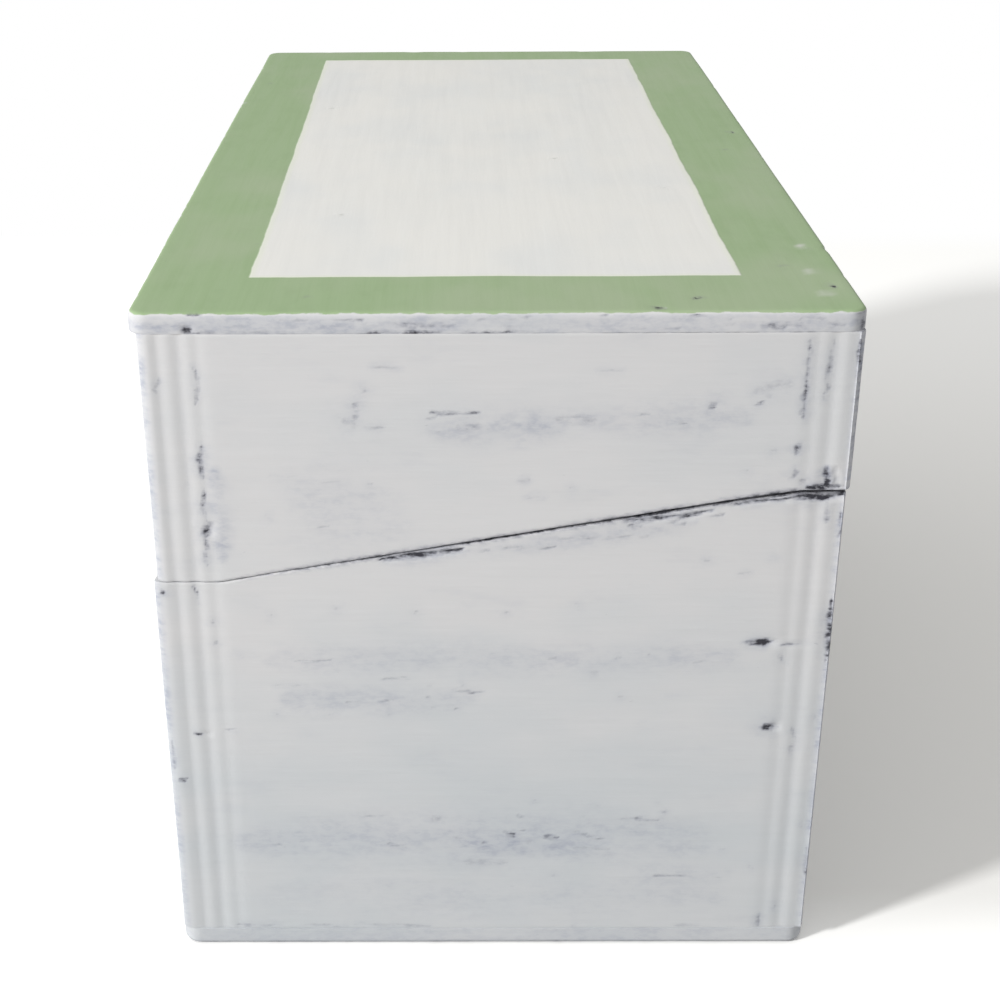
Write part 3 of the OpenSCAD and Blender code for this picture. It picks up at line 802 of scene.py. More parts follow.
# On the panel's near side, in mm across and up
band_scuffs = [
    (-35.9, 89.9, -35.4, 89.8, 0.5, 1.2), (-35.0, 89.5, -32.5, 89.5, 0.3, 0.9),
    (-32.5, 89.5, -25.0, 89.5, 0.25, 0.5), (-15.0, 89.6, -10.5, 89.6, 0.3, 0.9),
    (-10.7, 89.6, -6.3, 89.6, 0.35, 1.1), (-4.3, 89.6, -2.3, 89.6, 0.3, 0.8),
    (-1.5, 89.7, 5.0, 89.7, 0.3, 0.9), (30.5, 90.0, 33.3, 90.0, 0.35, 1.0),
    (3.5, 91.5, 3.9, 91.5, 0.4, 0.8), (12.3, 91.6, 12.7, 91.6, 0.4, 0.8),
    (22.8, 91.6, 23.2, 91.6, 0.4, 0.8), (-35.2, 92.0, -34.6, 92.0, 0.5, 0.9),
    (41.2, 91.7, 42.0, 91.7, 0.6, 0.7), (42.1, 90.9, 42.2, 89.6, 0.6, 1.0),
]
dice = np.random.default_rng(41)
for _ in range(26):
    across, up, length = dice.uniform(-38, 38), dice.uniform(89.8, 91.4), dice.uniform(2.0, 9.0)
    band_scuffs.append((across, up, across + length, up, 0.22, dice.uniform(0.3, 0.6)))
print(len(top_specks), "specks on the top,", len(band_scuffs), "scuffs on its near side")

# %% The top panel
panel_low, panel_high = box_mm("top_panel")
panel_top = panel_high[2]
top_arris = 0.6
top_plan = without_straight_points(level_outline("top_panel", (boards_top + panel_top - top_arris) / 2))
top_plan = divided(top_plan, lambda place: 0.5 if place[0] > half_length - 1 else 1.0)
top_away = outward(top_plan)
# The radius of the panel's corners, seen from above
panel_corner = 2.4
panel_half_x, panel_half_y = (panel_high[:2] - panel_low[:2]) / 2
panel_middle_y = (panel_high[1] + panel_low[1]) / 2
# Sandpaper took this much off the near side
near_side_loss = 0.26
# One nick crosses the back arris here
nick_place = 54.2
deep_scuffs = strong_ones(band_scuffs, 1.15)
# Each row has its distance inside the plan and its height
panel_rows = [(0.03, boards_top)] + [(0.0, boards_top + up) for up in (0.12, 0.5, 0.9, 1.3, 1.7)]
for degrees in range(0, 91, 18):
    angle = math.radians(degrees)
    panel_rows.append((top_arris * (1 - math.cos(angle)), panel_top - top_arris * (1 - math.sin(angle))))
panel_rows += [(top_arris + d, panel_top) for d in (0.4, 0.9, 1.3)]


def top_height(grid):
    """How high the top is at places on it: gently wavy, with a dent under each speck."""
    places = np.column_stack((grid, np.full(len(grid), panel_top)))
    dents = stroke_strength(grid[:, 0], grid[:, 1], top_specks)
    return panel_top - 0.04 * smooth_noise(places, (30, 12, 12), 9) - 0.08 * np.minimum(dents, 1)


print("the panel has", len(panel_rows), "rows of", len(top_plan), "points")

# %% Run the panel up in rows
rings = []
for inset, level in panel_rows:
    places = np.column_stack((top_plan, np.full(len(top_plan), level)))
    near_arris = soft_step(level, panel_top - 1.2, panel_top - 0.2)
    near_arris *= 1 - min(max(0.0, inset - top_arris) / 0.9, 1.0)
    # The arris is worn a little everywhere, and more in small chips
    chips = soft_step(smooth_noise(places, (3.4, 3.4, 30), 13), 0.78, 0.98)
    worn_away = (0.1 * smooth_noise(places, (15, 15, 30), 7) + 0.13 * chips) * near_arris
    chipped = 0.3 * np.maximum(stroke_strength(places[:, 1], places[:, 2], deep_scuffs) - 0.3, 0)
    chipped = np.where(places[:, 0] > half_length - 1.5, chipped, 0)
    side_dash = 0.25 * np.exp(-((places[:, 0] - nick_place) / 0.6) ** 2) * (places[:, 1] > 0) * near_arris
    sink = 0.05 * smooth_noise(places, (20, 20, 3), 8) + worn_away + chipped + side_dash
    ring = top_plan - top_away * (inset + sink)[:, None]
    ring[:, 0] -= near_side_loss * soft_step(ring[:, 0], half_length - 3, half_length)
    rings.append(np.column_stack((ring, np.full(len(top_plan), level) - 0.35 * worn_away - 0.3 * side_dash)))
    flat_share = soft_step(level, panel_top - top_arris, panel_top - 0.01)
    rings[-1][:, 2] -= flat_share * (panel_top - top_height(ring))
rings = np.array(rings)
print("rows from", round(rings[:, :, 2].min(), 2), "to", round(rings[:, :, 2].max(), 2), "mm")

# %% The numbers for the panel's paint, and its mesh


def top_fields(places):
    """Gives each point of the top its wear and its thinned coat, as board_fields does for a board."""
    x, y, height = places.T
    on_top = height > panel_top - 0.35
    near_side = (x > half_length - 1.5) & ~on_top
    patchy = smooth_noise(places, (6, 6, 3), 10)
    fine = smooth_noise(places, (1.2, 1.2, 0.6), 11)
    to_side = depth_in_plan(places, panel_middle_y, panel_half_x, panel_half_y, panel_corner)
    round_arris = np.exp(-((height - panel_top + 0.3) / 0.45) ** 2)
    round_arris *= np.exp(-np.maximum(to_side - 0.5, 0) / 0.4)
    arris_wear = round_arris * (0.05 + 0.5 * patchy ** 2) * (0.3 + 0.9 * fine)
    arris_wear *= 0.35 + 0.4 * np.maximum(soft_step(y, 20.0, 40.0), soft_step(x, 70.0, 77.0))
    foot_wear = (0.1 + 0.6 * patchy ** 2) * np.exp(-(height - boards_top) / 0.2)
    specks = np.where(on_top, stroke_strength(x, y, top_specks), 0)
    band = np.where(near_side, stroke_strength(y, height, band_scuffs), 0)
    worn = np.maximum.reduce([specks, band, arris_wear, foot_wear])
    pale = np.where(on_top, stroke_strength(x, y, top_pale_flecks), 0)
    streaked = smooth_noise(places, (9, 9, 0.8), 12) * (0.4 + 0.8 * smooth_noise(places, (3, 3, 0.5), 14))
    thin = np.maximum(np.where(on_top, 0, 0.1 + 1.4 * streaked), pale)
    return {"worn": worn, "thin": thin}


def top_faces(middles, on_cap):
    """Bare wood on the underside, where it closes the lid."""
    under_boards = depth_under_face(middles, lid_shift) > 1.0
    return {"bare": (on_cap & under_boards & (middles[:, 2] < boards_top + 0.1)).astype(float)}


def under_height(grid):
    return np.full(len(grid), boards_top)


painted_top = closed_mesh("painted_top_panel", rings, cap_over(rings[0], 5.0, under_height),
                          cap_over(rings[-1], 1.0, top_height), top_fields, top_faces)
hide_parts("top_panel")
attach(painted_top, "lid")
print("painted_top_panel", len(painted_top.data.vertices), "points")

# %% [markdown]
# Every finish here is a few soft effects laid over each other: streaks from a brush, paint rubbed
# through to the coat below, and grain. Each effect is a node group, made once and used by several
# materials with its own numbers. A group only hands out values and colours. The shader itself stays
# in the material, where its constant numbers can be set on its own sockets.

# %% Helpers for node trees


def put(tree, kind, sockets=None, **settings):
    """Adds a node and its settings. A socket is linked to an output or set to a number."""
    made = tree.nodes.new("ShaderNode" + kind)
    for setting, value in settings.items():
        setattr(made, setting, value)
    for socket, value in (sockets or {}).items():
        if isinstance(value, bpy.types.NodeSocket):
            tree.links.new(value, made.inputs[socket])
        else:
            made.inputs[socket].default_value = value
    return made


def calculate(tree, operation, first, second=0.0, third=0.0, clamp=False):
    made = put(tree, "Math", {0: first, 1: second, 2: third}, operation=operation, use_clamp=clamp)
    return made.outputs[0]


def soft_between(tree, value, low, high, out_low=0.0, out_high=1.0):
    made = put(tree, "MapRange", {"Value": value, "From Min": low, "From Max": high,
                                  "To Min": out_low, "To Max": out_high}, interpolation_type="SMOOTHSTEP")
    return made.outputs["Result"]


def blend_values(tree, share, first, second):
    return put(tree, "Mix", {0: share, 2: first, 3: second}).outputs[0]


def blend_colours(tree, share, first, second):
    first, second = [colour if isinstance(colour, bpy.types.NodeSocket) else (*colour, 1)
                     for colour in (first, second)]
    return put(tree, "Mix", {0: share, 6: first, 7: second}, data_type="RGBA", clamp_factor=True).outputs[2]


def new_group(name, inputs, outputs):
    """A node group with named sockets. An input is (name, kind, value), an output (name, kind)."""
    group = bpy.data.node_groups.new(name, "ShaderNodeTree")
    for label, kind, value in inputs:
        socket = group.interface.new_socket(label, in_out="INPUT", socket_type="NodeSocket" + kind)
        socket.default_value = value
    for label, kind in outputs:
        group.interface.new_socket(label, in_out="OUTPUT", socket_type="NodeSocket" + kind)
    return group, group.nodes.new("NodeGroupInput").outputs, group.nodes.new("NodeGroupOutput").inputs


def use_group(tree, group, sockets):
    return put(tree, "Group", sockets, node_tree=group).outputs


print("helpers for node trees are ready")

# %% Effect: streaks, soft values drawn out along one direction
streaks_group, given, result = new_group(
    "streaks",
    [("Place", "Vector", (0, 0, 0)), ("Per Length", "Vector", (1, 1, 1)), ("Detail", "Float", 4.0),
     ("Seed", "Float", 0.0)],
    [("Value", "Float")])
tree = streaks_group
# Each seed reads another part of the same endless noise
apart = [calculate(tree, "MULTIPLY", given["Seed"], far) for far in (7.31, 3.77, 5.19)]
apart = put(tree, "CombineXYZ", dict(enumerate(apart))).outputs[0]
scaled = put(tree, "VectorMath", {0: given["Place"], 1: given["Per Length"], 2: apart},
             operation="MULTIPLY_ADD")
noise = put(tree, "TexNoise", {"Vector": scaled.outputs[0], "Scale": 1.0, "Detail": given["Detail"],
                               "Roughness": 0.58})
tree.links.new(noise.outputs["Fac"], result["Value"])


def streaks(tree, place, lengths, detail, seed):
    """Streaks of the given lengths in mm along X, Y and Z."""
    per_length = tuple(1 / length for length in lengths)
    return use_group(tree, streaks_group, {"Place": place, "Per Length": per_length, "Detail": detail,
                                           "Seed": seed})["Value"]


print("effect:", streaks_group.name)

# %% Effect: paint rubbed through to the coat below
rubbed_group, given, result = new_group(
    "rubbed_through",
    [("Place", "Vector", (0, 0, 0)), ("Worn", "Float", 0.0), ("Specks", "Float", 0.0)],
    [("Chips", "Float"), ("Smear", "Float")])
tree = rubbed_group
ragged = streaks(tree, given["Place"], (1.0, 1.0, 0.5), 5.0, 1.0)
drawn_out = streaks(tree, given["Place"], (6.0, 6.0, 0.5), 4.0, 2.0)
roughly = calculate(tree, "MULTIPLY_ADD", ragged, 2.5, -0.75)
roughly = calculate(tree, "MULTIPLY_ADD", drawn_out, 1.0, roughly)
potential = calculate(tree, "MULTIPLY", given["Worn"], roughly)
speck_noise = streaks(tree, given["Place"], (2.2, 2.2, 0.7), 2.0, 3.0)
speck = soft_between(tree, speck_noise, 0.74, 0.82)
speck = calculate(tree, "MULTIPLY", speck, given["Specks"])
potential = calculate(tree, "MAXIMUM", potential, speck)
tree.links.new(soft_between(tree, potential, 0.6, 1.45), result["Chips"])
tree.links.new(soft_between(tree, potential, 0.15, 0.9), result["Smear"])
print("effect:", rubbed_group.name)

# %% Effect: off-white chalk paint over a dark coat
chalk_group, given, result = new_group(
    "chalk_paint",
    [("Place", "Vector", (0, 0, 0)), ("Chips", "Float", 0.0), ("Smear", "Float", 0.0),
     ("Thin Coat And Shade", "Float", 0.0)],
    [("Colour", "Color"), ("Roughness", "Float"), ("Height", "Float")])
tree = chalk_group
warm_white, cool_white = (0.672, 0.667, 0.667), (0.588, 0.612, 0.626)
haze_grey, dark_coat, smear_grey = (0.36, 0.385, 0.46), (0.03, 0.03, 0.04), (0.23, 0.24, 0.3)
broad = streaks(tree, given["Place"], (34.0, 34.0, 17.0), 3.0, 4.0)
brushed = streaks(tree, given["Place"], (14.0, 14.0, 0.9), 5.0, 5.0)
bristles = streaks(tree, given["Place"], (5.0, 5.0, 0.22), 3.0, 6.0)
patches = streaks(tree, given["Place"], (11.0, 11.0, 3.4), 4.0, 7.0)
flecks = streaks(tree, given["Place"], (1.3, 1.3, 0.6), 4.0, 8.0)
height_up = put(tree, "SeparateXYZ", {0: given["Place"]}).outputs[2]
# The off-white turns cooler and a little darker towards the foot of the box
cool = soft_between(tree, height_up, 66.0, 10.0, 0.0, 0.75)
cool = calculate(tree, "ADD", cool, soft_between(tree, broad, 0.36, 0.64, -0.2, 0.3))
colour = blend_colours(tree, cool, warm_white, cool_white)
light = calculate(tree, "MULTIPLY_ADD", brushed, 0.05, 0.975)
light = calculate(tree, "MULTIPLY_ADD", bristles, 0.03, calculate(tree, "SUBTRACT", light, 0.015))
colour = put(tree, "VectorMath", {0: colour, "Scale": light}, operation="SCALE").outputs[0]
everywhere = soft_between(tree, patches, 0.54, 0.78, 0.0, 0.2)
# The haze also carries the painted shade that the boards give their grooves and corner beads
haze = calculate(tree, "MULTIPLY", given["Thin Coat And Shade"], soft_between(tree, patches, 0.3, 0.65, 0.35, 1.0))
haze = calculate(tree, "MULTIPLY", haze, soft_between(tree, flecks, 0.4, 0.66, 0.6, 1.25))
haze = calculate(tree, "MAXIMUM", haze, everywhere)
haze = calculate(tree, "MULTIPLY", haze, 0.62, clamp=True)
colour = blend_colours(tree, haze, colour, haze_grey)
smear = calculate(tree, "MULTIPLY", given["Smear"], 0.5)
colour = blend_colours(tree, smear, colour, smear_grey)
colour = blend_colours(tree, given["Chips"], colour, dark_coat)
tree.links.new(colour, result["Colour"])
tree.links.new(soft_between(tree, given["Chips"], 0.0, 1.0, 0.74, 0.52), result["Roughness"])
ridges = calculate(tree, "MULTIPLY_ADD", brushed, 0.035, calculate(tree, "MULTIPLY", bristles, 0.009))
layers = calculate(tree, "MULTIPLY_ADD", given["Chips"], -0.07, ridges)
tree.links.new(calculate(tree, "MULTIPLY_ADD", given["Smear"], -0.03, layers), result["Height"])
print("effect:", chalk_group.name)


def chalk_over(tree, place, rubbed, thin):
    """The chalk paint, broken by what an effect of rubbing gives."""
    return use_group(tree, chalk_group, {"Place": place, "Chips": rubbed["Chips"],
                                         "Smear": rubbed["Smear"], "Thin Coat And Shade": thin})


# %% Effect: bare pale wood
wood_group, given, result = new_group(
    "bare_wood",
    [("Place", "Vector", (0, 0, 0)), ("Per Length", "Vector", (0.05, 0.05, 0.8))],
    [("Colour", "Color"), ("Height", "Float")])
tree = wood_group
pale_wood, grain_wood, pore_wood = (0.56, 0.41, 0.255), (0.42, 0.285, 0.16), (0.27, 0.17, 0.09)
scaled = put(tree, "VectorMath", {0: given["Place"], 1: given["Per Length"]}, operation="MULTIPLY").outputs[0]
rings_noise = put(tree, "TexNoise", {"Vector": scaled, "Scale": 0.9, "Detail": 3.0, "Roughness": 0.5,
                                     "Distortion": 0.6}).outputs["Fac"]
bands = calculate(tree, "SINE", calculate(tree, "MULTIPLY", rings_noise, 22.0))
pores = put(tree, "TexNoise", {"Vector": scaled, "Scale": 5.5, "Detail": 4.0,
                               "Roughness": 0.65}).outputs["Fac"]
colour = blend_colours(tree, soft_between(tree, bands, -1.0, 1.0), pale_wood, grain_wood)
colour = blend_colours(tree, soft_between(tree, pores, 0.5, 0.8, 0.0, 0.5), colour, pore_wood)
tree.links.new(colour, result["Colour"])
tree.links.new(calculate(tree, "MULTIPLY_ADD", pores, -0.06, calculate(tree, "MULTIPLY", bands, 0.008)),
               result["Height"])

print("node groups:", [group.name for group in bpy.data.node_groups])

# %% [markdown]
# The painted boards mix two of the effects: chalk paint where the board was brushed, bare wood
# inside. The fields decide which, so the paint stops exactly at the rim.

# %% Material: chalk painted wood


def new_material(name):
    material = bpy.data.materials.new(name)
    material.use_nodes = True
    tree = material.node_tree
    shader = tree.nodes["Principled BSDF"]
    place = put(tree, "VectorMath", {0: put(tree, "TexCoord").outputs["Object"], "Scale": 1 / MM},
                operation="SCALE").outputs[0]
    return material, tree, shader, place


def field(tree, name):
    return put(tree, "Attribute", attribute_name=name).outputs["Fac"]


def finish_surface(tree, shader, colour, roughness, height, specular=0.5):
    """Feeds the shader. The height is in mm, so the bump's distance is one millimetre."""
    bump = put(tree, "Bump", {"Height": height, "Distance": MM, "Strength": 1.0})
    tree.links.new(colour, shader.inputs["Base Color"])
    tree.links.new(roughness, shader.inputs["Roughness"])
    tree.links.new(bump.outputs["Normal"], shader.inputs["Normal"])
    shader.inputs["Specular IOR Level"].default_value = specular


def dress(piece, material):
    piece.data.materials.clear()
    piece.data.materials.append(material)


chalk_specular, satin_specular = 0.3, 0.4
bare_wood_roughness = 0.68

chalk_wood, tree, shader, place = new_material("chalk_painted_wood")
rim_wear = soft_between(tree, streaks(tree, place, (12.0, 5.0, 5.0), 4.0, 41.0), 0.3, 0.65, 0.35, 1.1)
rim_wear = calculate(tree, "MULTIPLY", rim_wear, field(tree, "rim"))
worn = calculate(tree, "MAXIMUM", rim_wear, field(tree, "worn"))
rubbed = use_group(tree, rubbed_group, {"Place": place, "Worn": worn, "Specks": 0.5})
paint = chalk_over(tree, place, rubbed, field(tree, "thin"))
wood = use_group(tree, wood_group, {"Place": place, "Per Length": (0.05, 0.05, 0.7)})
bare = field(tree, "bare")
colour = blend_colours(tree, bare, paint["Colour"], wood["Colour"])
roughness = blend_values(tree, bare, paint["Roughness"], bare_wood_roughness)
height = blend_values(tree, bare, paint["Height"], wood["Height"])
finish_surface(tree, shader, colour, roughness, height, chalk_specular)
for board in painted_boards:
    dress(board, chalk_wood)
print("chalk_painted_wood has", len(tree.nodes), "nodes")

# %% [markdown]
# The top carries three paints: sage green, a cream field with a hand-cut edge, and the off-white
# that runs down the sides of the panel. The field's outline is drawn with positions, bent a little
# by noise, because a masked edge on brushed paint is never ruler straight. The field also lies a
# touch askew, and the cream is thin along its edge, so a little green shows through.

# %% Material: green painted wood with a cream field
sage, sage_dusty, sage_deep = (0.342, 0.464, 0.255), (0.402, 0.482, 0.315), (0.284, 0.398, 0.205)
cream, cream_cool, cream_edge = (0.85, 0.84, 0.80), (0.80, 0.805, 0.785), (0.80, 0.84, 0.66)
fleck_pale, smear_green, dark_chip = (0.62, 0.64, 0.57), (0.3, 0.33, 0.28), (0.03, 0.032, 0.04)
# The field's corners in mm, and how far askew it lies, in radians
field_low, field_high = (-69.2, -29.9), (65.0, 30.0)
field_turn = 0.005
coat_thickness = 0.03
green_wood, tree, shader, place = new_material("green_painted_wood")
split = put(tree, "SeparateXYZ", {0: place})
edge_drift = streaks(tree, place, (22.0, 22.0, 9.0), 5.0, 11.0)
edge_drift = calculate(tree, "MULTIPLY_ADD", edge_drift, 1.3, -0.65)
askew = calculate(tree, "MULTIPLY_ADD", split.outputs[0], -field_turn, field_turn * field_high[0])
across_field = calculate(tree, "ADD", split.outputs[1], askew)
beyond_edges = []
for axis, along in ((0, split.outputs[0]), (1, across_field)):
    middle = (field_low[axis] + field_high[axis]) / 2
    reach = (field_high[axis] - field_low[axis]) / 2
    beyond = calculate(tree, "ABSOLUTE", calculate(tree, "SUBTRACT", along, middle))
    beyond = calculate(tree, "SUBTRACT", beyond, reach)
    beyond_edges.append(calculate(tree, "ADD", beyond, edge_drift))
inside_field = [soft_between(tree, beyond, 0.15, -0.15) for beyond in beyond_edges]
inside_field = calculate(tree, "MULTIPLY", *inside_field)
edge_paint = [soft_between(tree, beyond, -1.1, -0.2) for beyond in beyond_edges]
edge_paint = calculate(tree, "MAXIMUM", *edge_paint)
print("field in mm from", field_low, "to", field_high)

# %% Its colours on the flat
rubbed = use_group(tree, rubbed_group, {"Place": place, "Worn": field(tree, "worn"), "Specks": 0.35})
strokes_along = streaks(tree, place, (26.0, 1.6, 5.0), 5.0, 12.0)
dusty = streaks(tree, place, (30.0, 22.0, 8.0), 3.0, 13.0)
mottled = streaks(tree, place, (5.0, 3.2, 3.0), 5.0, 15.0)
green = blend_colours(tree, soft_between(tree, strokes_along, 0.4, 0.75, 0.0, 0.3), sage, sage_deep)
green = blend_colours(tree, soft_between(tree, mottled, 0.45, 0.75, 0.0, 0.35), green, sage_deep)
green = blend_colours(tree, soft_between(tree, dusty, 0.42, 0.7, 0.0, 0.6), green, sage_dusty)
cream_now = blend_colours(tree, soft_between(tree, dusty, 0.4, 0.7), cream, cream_cool)
brush_marks = soft_between(tree, strokes_along, 0.55, 0.8, 0.0, 0.35)
cream_now = blend_colours(tree, brush_marks, cream_now, cream_cool)
cream_now = blend_colours(tree, calculate(tree, "MULTIPLY", edge_paint, 0.4), cream_now, cream_edge)
flat_colour = blend_colours(tree, inside_field, green, cream_now)
pale = calculate(tree, "MULTIPLY", field(tree, "thin"), 0.8)
flat_colour = blend_colours(tree, pale, flat_colour, fleck_pale)
smear = calculate(tree, "MULTIPLY", rubbed["Smear"], 0.45)
flat_colour = blend_colours(tree, smear, flat_colour, smear_green)
flat_colour = blend_colours(tree, rubbed["Chips"], flat_colour, dark_chip)
satin = soft_between(tree, strokes_along, 0.3, 0.7, 0.42, 0.56)
flat_height = calculate(tree, "MULTIPLY", inside_field, coat_thickness)
flat_height = calculate(tree, "MULTIPLY_ADD", strokes_along, 0.03, flat_height)
flat_height = calculate(tree, "MULTIPLY_ADD", rubbed["Chips"], -0.06, flat_height)
print("the field is one more coat, and stands", coat_thickness, "mm proud")

# %% Its off-white sides and bare underside
side = chalk_over(tree, place, rubbed, field(tree, "thin"))
# The off-white ends at a ragged line on the arris
border = streaks(tree, place, (2.2, 2.2, 1.0), 4.0, 14.0)
border = calculate(tree, "MULTIPLY_ADD", border, 0.6, panel_top - 0.5)
on_side = soft_between(tree, calculate(tree, "SUBTRACT", border, split.outputs[2]), -0.05, 0.08)
painted = blend_colours(tree, on_side, flat_colour, side["Colour"])
wood = use_group(tree, wood_group, {"Place": place, "Per Length": (0.04, 0.55, 0.55)})
bare = field(tree, "bare")
colour = blend_colours(tree, bare, painted, wood["Colour"])
roughness = blend_values(tree, on_side, satin, side["Roughness"])
height = blend_values(tree, on_side, flat_height, side["Height"])
finish_surface(tree, shader, colour, roughness, height, satin_specular)
dress(painted_top, green_wood)
print("green_painted_wood has", len(tree.nodes), "nodes")

# %% [markdown]
# The bottom panel keeps the frame's own mesh, which carries no fields. Its wear is worked out from
# the place alone: rubbed along the rounded foot and the joint, dark and scuffed underneath.

# %% Material: painted bottom panel
panel_wood, tree, shader, place = new_material("chalk_painted_bottom")
split = put(tree, "SeparateXYZ", {0: place})
height_mm = split.outputs[2]
foot = soft_between(tree, height_mm, 1.1, 0.15)
joint = soft_between(tree, height_mm, boards_bottom - 0.25, boards_bottom - 0.02, 0.0, 0.3)
patchy = soft_between(tree, streaks(tree, place, (9.0, 9.0, 9.0), 3.0, 21.0), 0.35, 0.7)
worn = calculate(tree, "MULTIPLY", calculate(tree, "MAXIMUM", foot, joint),
                 calculate(tree, "MULTIPLY_ADD", patchy, 0.6, 0.22))
facing_down = put(tree, "SeparateXYZ", {0: put(tree, "NewGeometry").outputs["Normal"]}).outputs[2]
underneath = soft_between(tree, facing_down, -0.8, -0.95)
under_wear = soft_between(tree, streaks(tree, place, (20.0, 2.0, 2.0), 5.0, 22.0), 0.3, 0.55, 1.4, 0.5)
under_wear = calculate(tree, "MULTIPLY", under_wear, underneath)
worn = calculate(tree, "MAXIMUM", worn, under_wear)
rubbed = use_group(tree, rubbed_group, {"Place": place, "Worn": worn, "Specks": 0.5})
paint = chalk_over(tree, place, rubbed, 0.5)
wood = use_group(tree, wood_group, {"Place": place, "Per Length": (0.04, 0.55, 0.55)})
# Inside the box the panel is bare
within = []
for axis, half in ((0, half_length), (1, half_depth)):
    away = calculate(tree, "ABSOLUTE", split.outputs[axis])
    within.append(soft_between(tree, away, half - 7.0, half - 7.3))
inside = calculate(tree, "MULTIPLY", *within)
inside = calculate(tree, "MULTIPLY", inside, soft_between(tree, height_mm, 1.3, 1.4))
colour = blend_colours(tree, inside, paint["Colour"], wood["Colour"])
roughness = blend_values(tree, inside, paint["Roughness"], bare_wood_roughness)
height = blend_values(tree, inside, paint["Height"], wood["Height"])
finish_surface(tree, shader, colour, roughness, height, chalk_specular)
dress(nodes["bottom_panel"], panel_wood)
print("chalk_painted_bottom has", len(tree.nodes), "nodes")

# %% [markdown]
# Hinges, screws and brads are small bought hardware. Old stamped brass is dull and browner where
# fingers never rub it; wire brads are grey with a little rust. One effect serves both metals.

# %% Materials: dull brass and plain steel wire
tarnish_group, given, result = new_group(
    "tarnished_metal",
    [("Place", "Vector", (0, 0, 0)), ("Clean", "Color", (1, 1, 1, 1)), ("Stained", "Color", (1, 1, 1, 1))],
    [("Colour", "Color"), ("Roughness", "Float"), ("Height", "Float")])
tree = tarnish_group
clouds = streaks(tree, given["Place"], (3.0, 3.0, 3.0), 5.0, 31.0)
scratches = streaks(tree, given["Place"], (0.15, 2.5, 2.5), 3.0, 32.0)
stain = soft_between(tree, clouds, 0.4, 0.68)
tree.links.new(blend_colours(tree, stain, given["Clean"], given["Stained"]), result["Colour"])
tree.links.new(calculate(tree, "MULTIPLY_ADD", stain, 0.24, 0.32), result["Roughness"])
tree.links.new(calculate(tree, "MULTIPLY_ADD", scratches, 0.012, calculate(tree, "MULTIPLY", stain, -0.004)),
               result["Height"])
for slot_name, clean, stained in (("brass_hinge", (0.66, 0.47, 0.19, 1), (0.29, 0.17, 0.065, 1)),
                                  ("steel_brad", (0.46, 0.46, 0.47, 1), (0.2, 0.13, 0.09, 1))):
    metal, tree, shader, place = new_material(slot_name)
    tarnish = use_group(tree, tarnish_group, {"Place": place, "Clean": clean, "Stained": stained})
    finish_surface(tree, shader, tarnish["Colour"], tarnish["Roughness"], tarnish["Height"])
    shader.inputs["Metallic"].default_value = 1.0
    used_by = [row["node"] for row in frame["record"]["subparts"] if row["material_slot"] == slot_name]
    for node in used_by:
        dress(nodes[node], metal)
    print(slot_name, "on", len(used_by), "pieces")

# %% [markdown]
# The box stands on a plain white floor. To the camera the floor is white card; to the light that
# bounces it is duller, so the box's lower half isn't lit from below. Further out it fades to pure
# white, and near the box it keeps the shadow. The card is a shade darker in the strip behind the
# box, so that the shadow there is as deep as it should be.

# %% Floor
floor_reach = 6.0
card_white, card_in_strip, card_to_bounces = (1.2, 1.195, 1.17), (0.99, 0.98, 0.95), (0.6, 0.6, 0.6, 1)
floor_mesh = bpy.data.meshes.new("floor")
floor_corners = [(-floor_reach, -floor_reach, 0), (floor_reach, -floor_reach, 0),
                 (floor_reach, floor_reach, 0), (-floor_reach, floor_reach, 0)]
floor_mesh.from_pydata(floor_corners, [], [(0, 1, 2, 3)])
floor = bpy.data.objects.new("floor", floor_mesh)
scene.collection.objects.link(floor)
floor_finish = bpy.data.materials.new("white_floor")
floor_finish.use_nodes = True
tree = floor_finish.node_tree
tree.nodes.clear()
floor_place = put(tree, "NewGeometry").outputs["Position"]
floor_split = put(tree, "SeparateXYZ", {0: floor_place})
beside_box = soft_between(tree, floor_split.outputs[0], -0.2, 0.02)
beside_box = calculate(tree, "MULTIPLY", beside_box, soft_between(tree, floor_split.outputs[0], 0.08, 0.066))
beside_box = calculate(tree, "MULTIPLY", beside_box, soft_between(tree, floor_split.outputs[1], -0.03, 0.04))
card_colour = blend_colours(tree, beside_box, card_white, card_in_strip)
seen = put(tree, "BsdfDiffuse", {"Color": card_colour})
lit = put(tree, "BsdfDiffuse", {"Color": card_to_bounces})
white = put(tree, "Emission", {"Color": (1, 1, 1, 1), "Strength": 1.0})
path = put(tree, "LightPath")
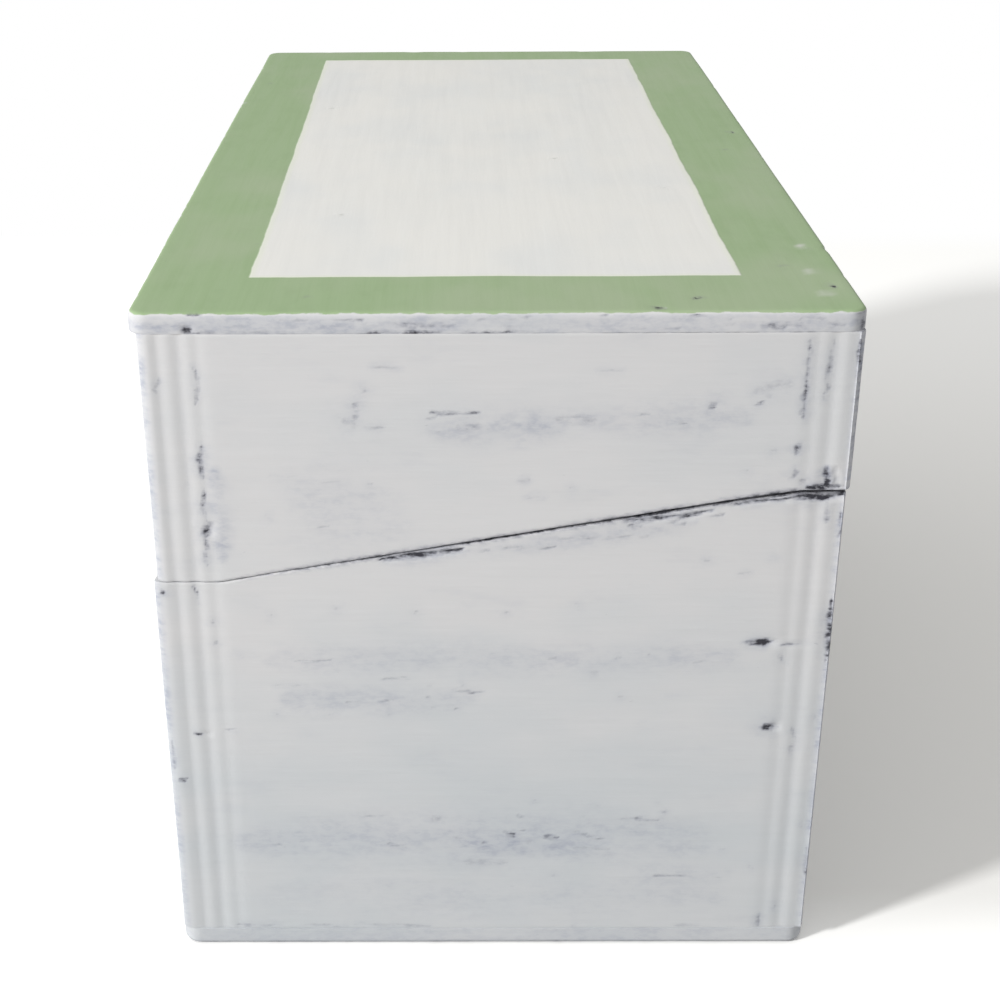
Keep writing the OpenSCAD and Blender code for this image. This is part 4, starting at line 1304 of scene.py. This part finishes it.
shown = calculate(tree, "MAXIMUM", path.outputs["Is Camera Ray"], path.outputs["Is Glossy Ray"])
shown = calculate(tree, "MAXIMUM", shown, path.outputs["Is Transmission Ray"])
away = put(tree, "VectorMath", {0: floor_place}, operation="LENGTH")
far_out = soft_between(tree, away.outputs["Value"], 0.3, 0.55)
behind = soft_between(tree, floor_split.outputs[0], -0.226, -0.252)
far_out = calculate(tree, "MAXIMUM", far_out, behind)
card = put(tree, "MixShader", {0: far_out, 1: seen.outputs[0], 2: white.outputs[0]})
both = put(tree, "MixShader", {0: shown, 1: lit.outputs[0], 2: card.outputs[0]})
put(tree, "OutputMaterial", {0: both.outputs[0]})
floor_mesh.materials.append(floor_finish)
print("floor", 2 * floor_reach, "m across")

# %% [markdown]
# The light is one soft lamp, like a window to the front and right, and an even pale room. The lamp
# stands 1.4 m off, which gives the near end its slight fall of light and the floor a shadow that
# widens as it leaves the box.

# %% Lamp and room
lamp_place = Vector((0.642, -1.112, 0.603))
lamp_target = Vector((0.0, 0.0, 0.045))
lamp_data = bpy.data.lights.new("window", "AREA")
lamp_data.shape = "DISK"
lamp_data.size = 0.155
lamp_data.energy = 17.0
lamp = bpy.data.objects.new("window", lamp_data)
scene.collection.objects.link(lamp)
lamp.location = lamp_place
lamp.rotation_euler = (lamp_place - lamp_target).to_track_quat("Z", "Y").to_euler()

# How bright the room is at the height of the horizon and straight above
glow_level, glow_above = 0.28, 0.75
room = bpy.data.worlds.new("room")
scene.world = room
room.use_nodes = True
tree = room.node_tree
tree.nodes.clear()
direction = put(tree, "SeparateXYZ", {0: put(tree, "TexCoord").outputs["Generated"]})
glow = put(tree, "MapRange", {"Value": direction.outputs[2], "From Min": 0.0, "From Max": 1.0,
                              "To Min": glow_level, "To Max": glow_above})
sky = put(tree, "Background", {"Color": (1, 1, 1, 1), "Strength": glow.outputs["Result"]})
put(tree, "OutputWorld", {0: sky.outputs[0]})
scene.view_settings.view_transform = "Standard"
print("lamp", round((lamp_place - lamp_target).length, 2), "m from the box")
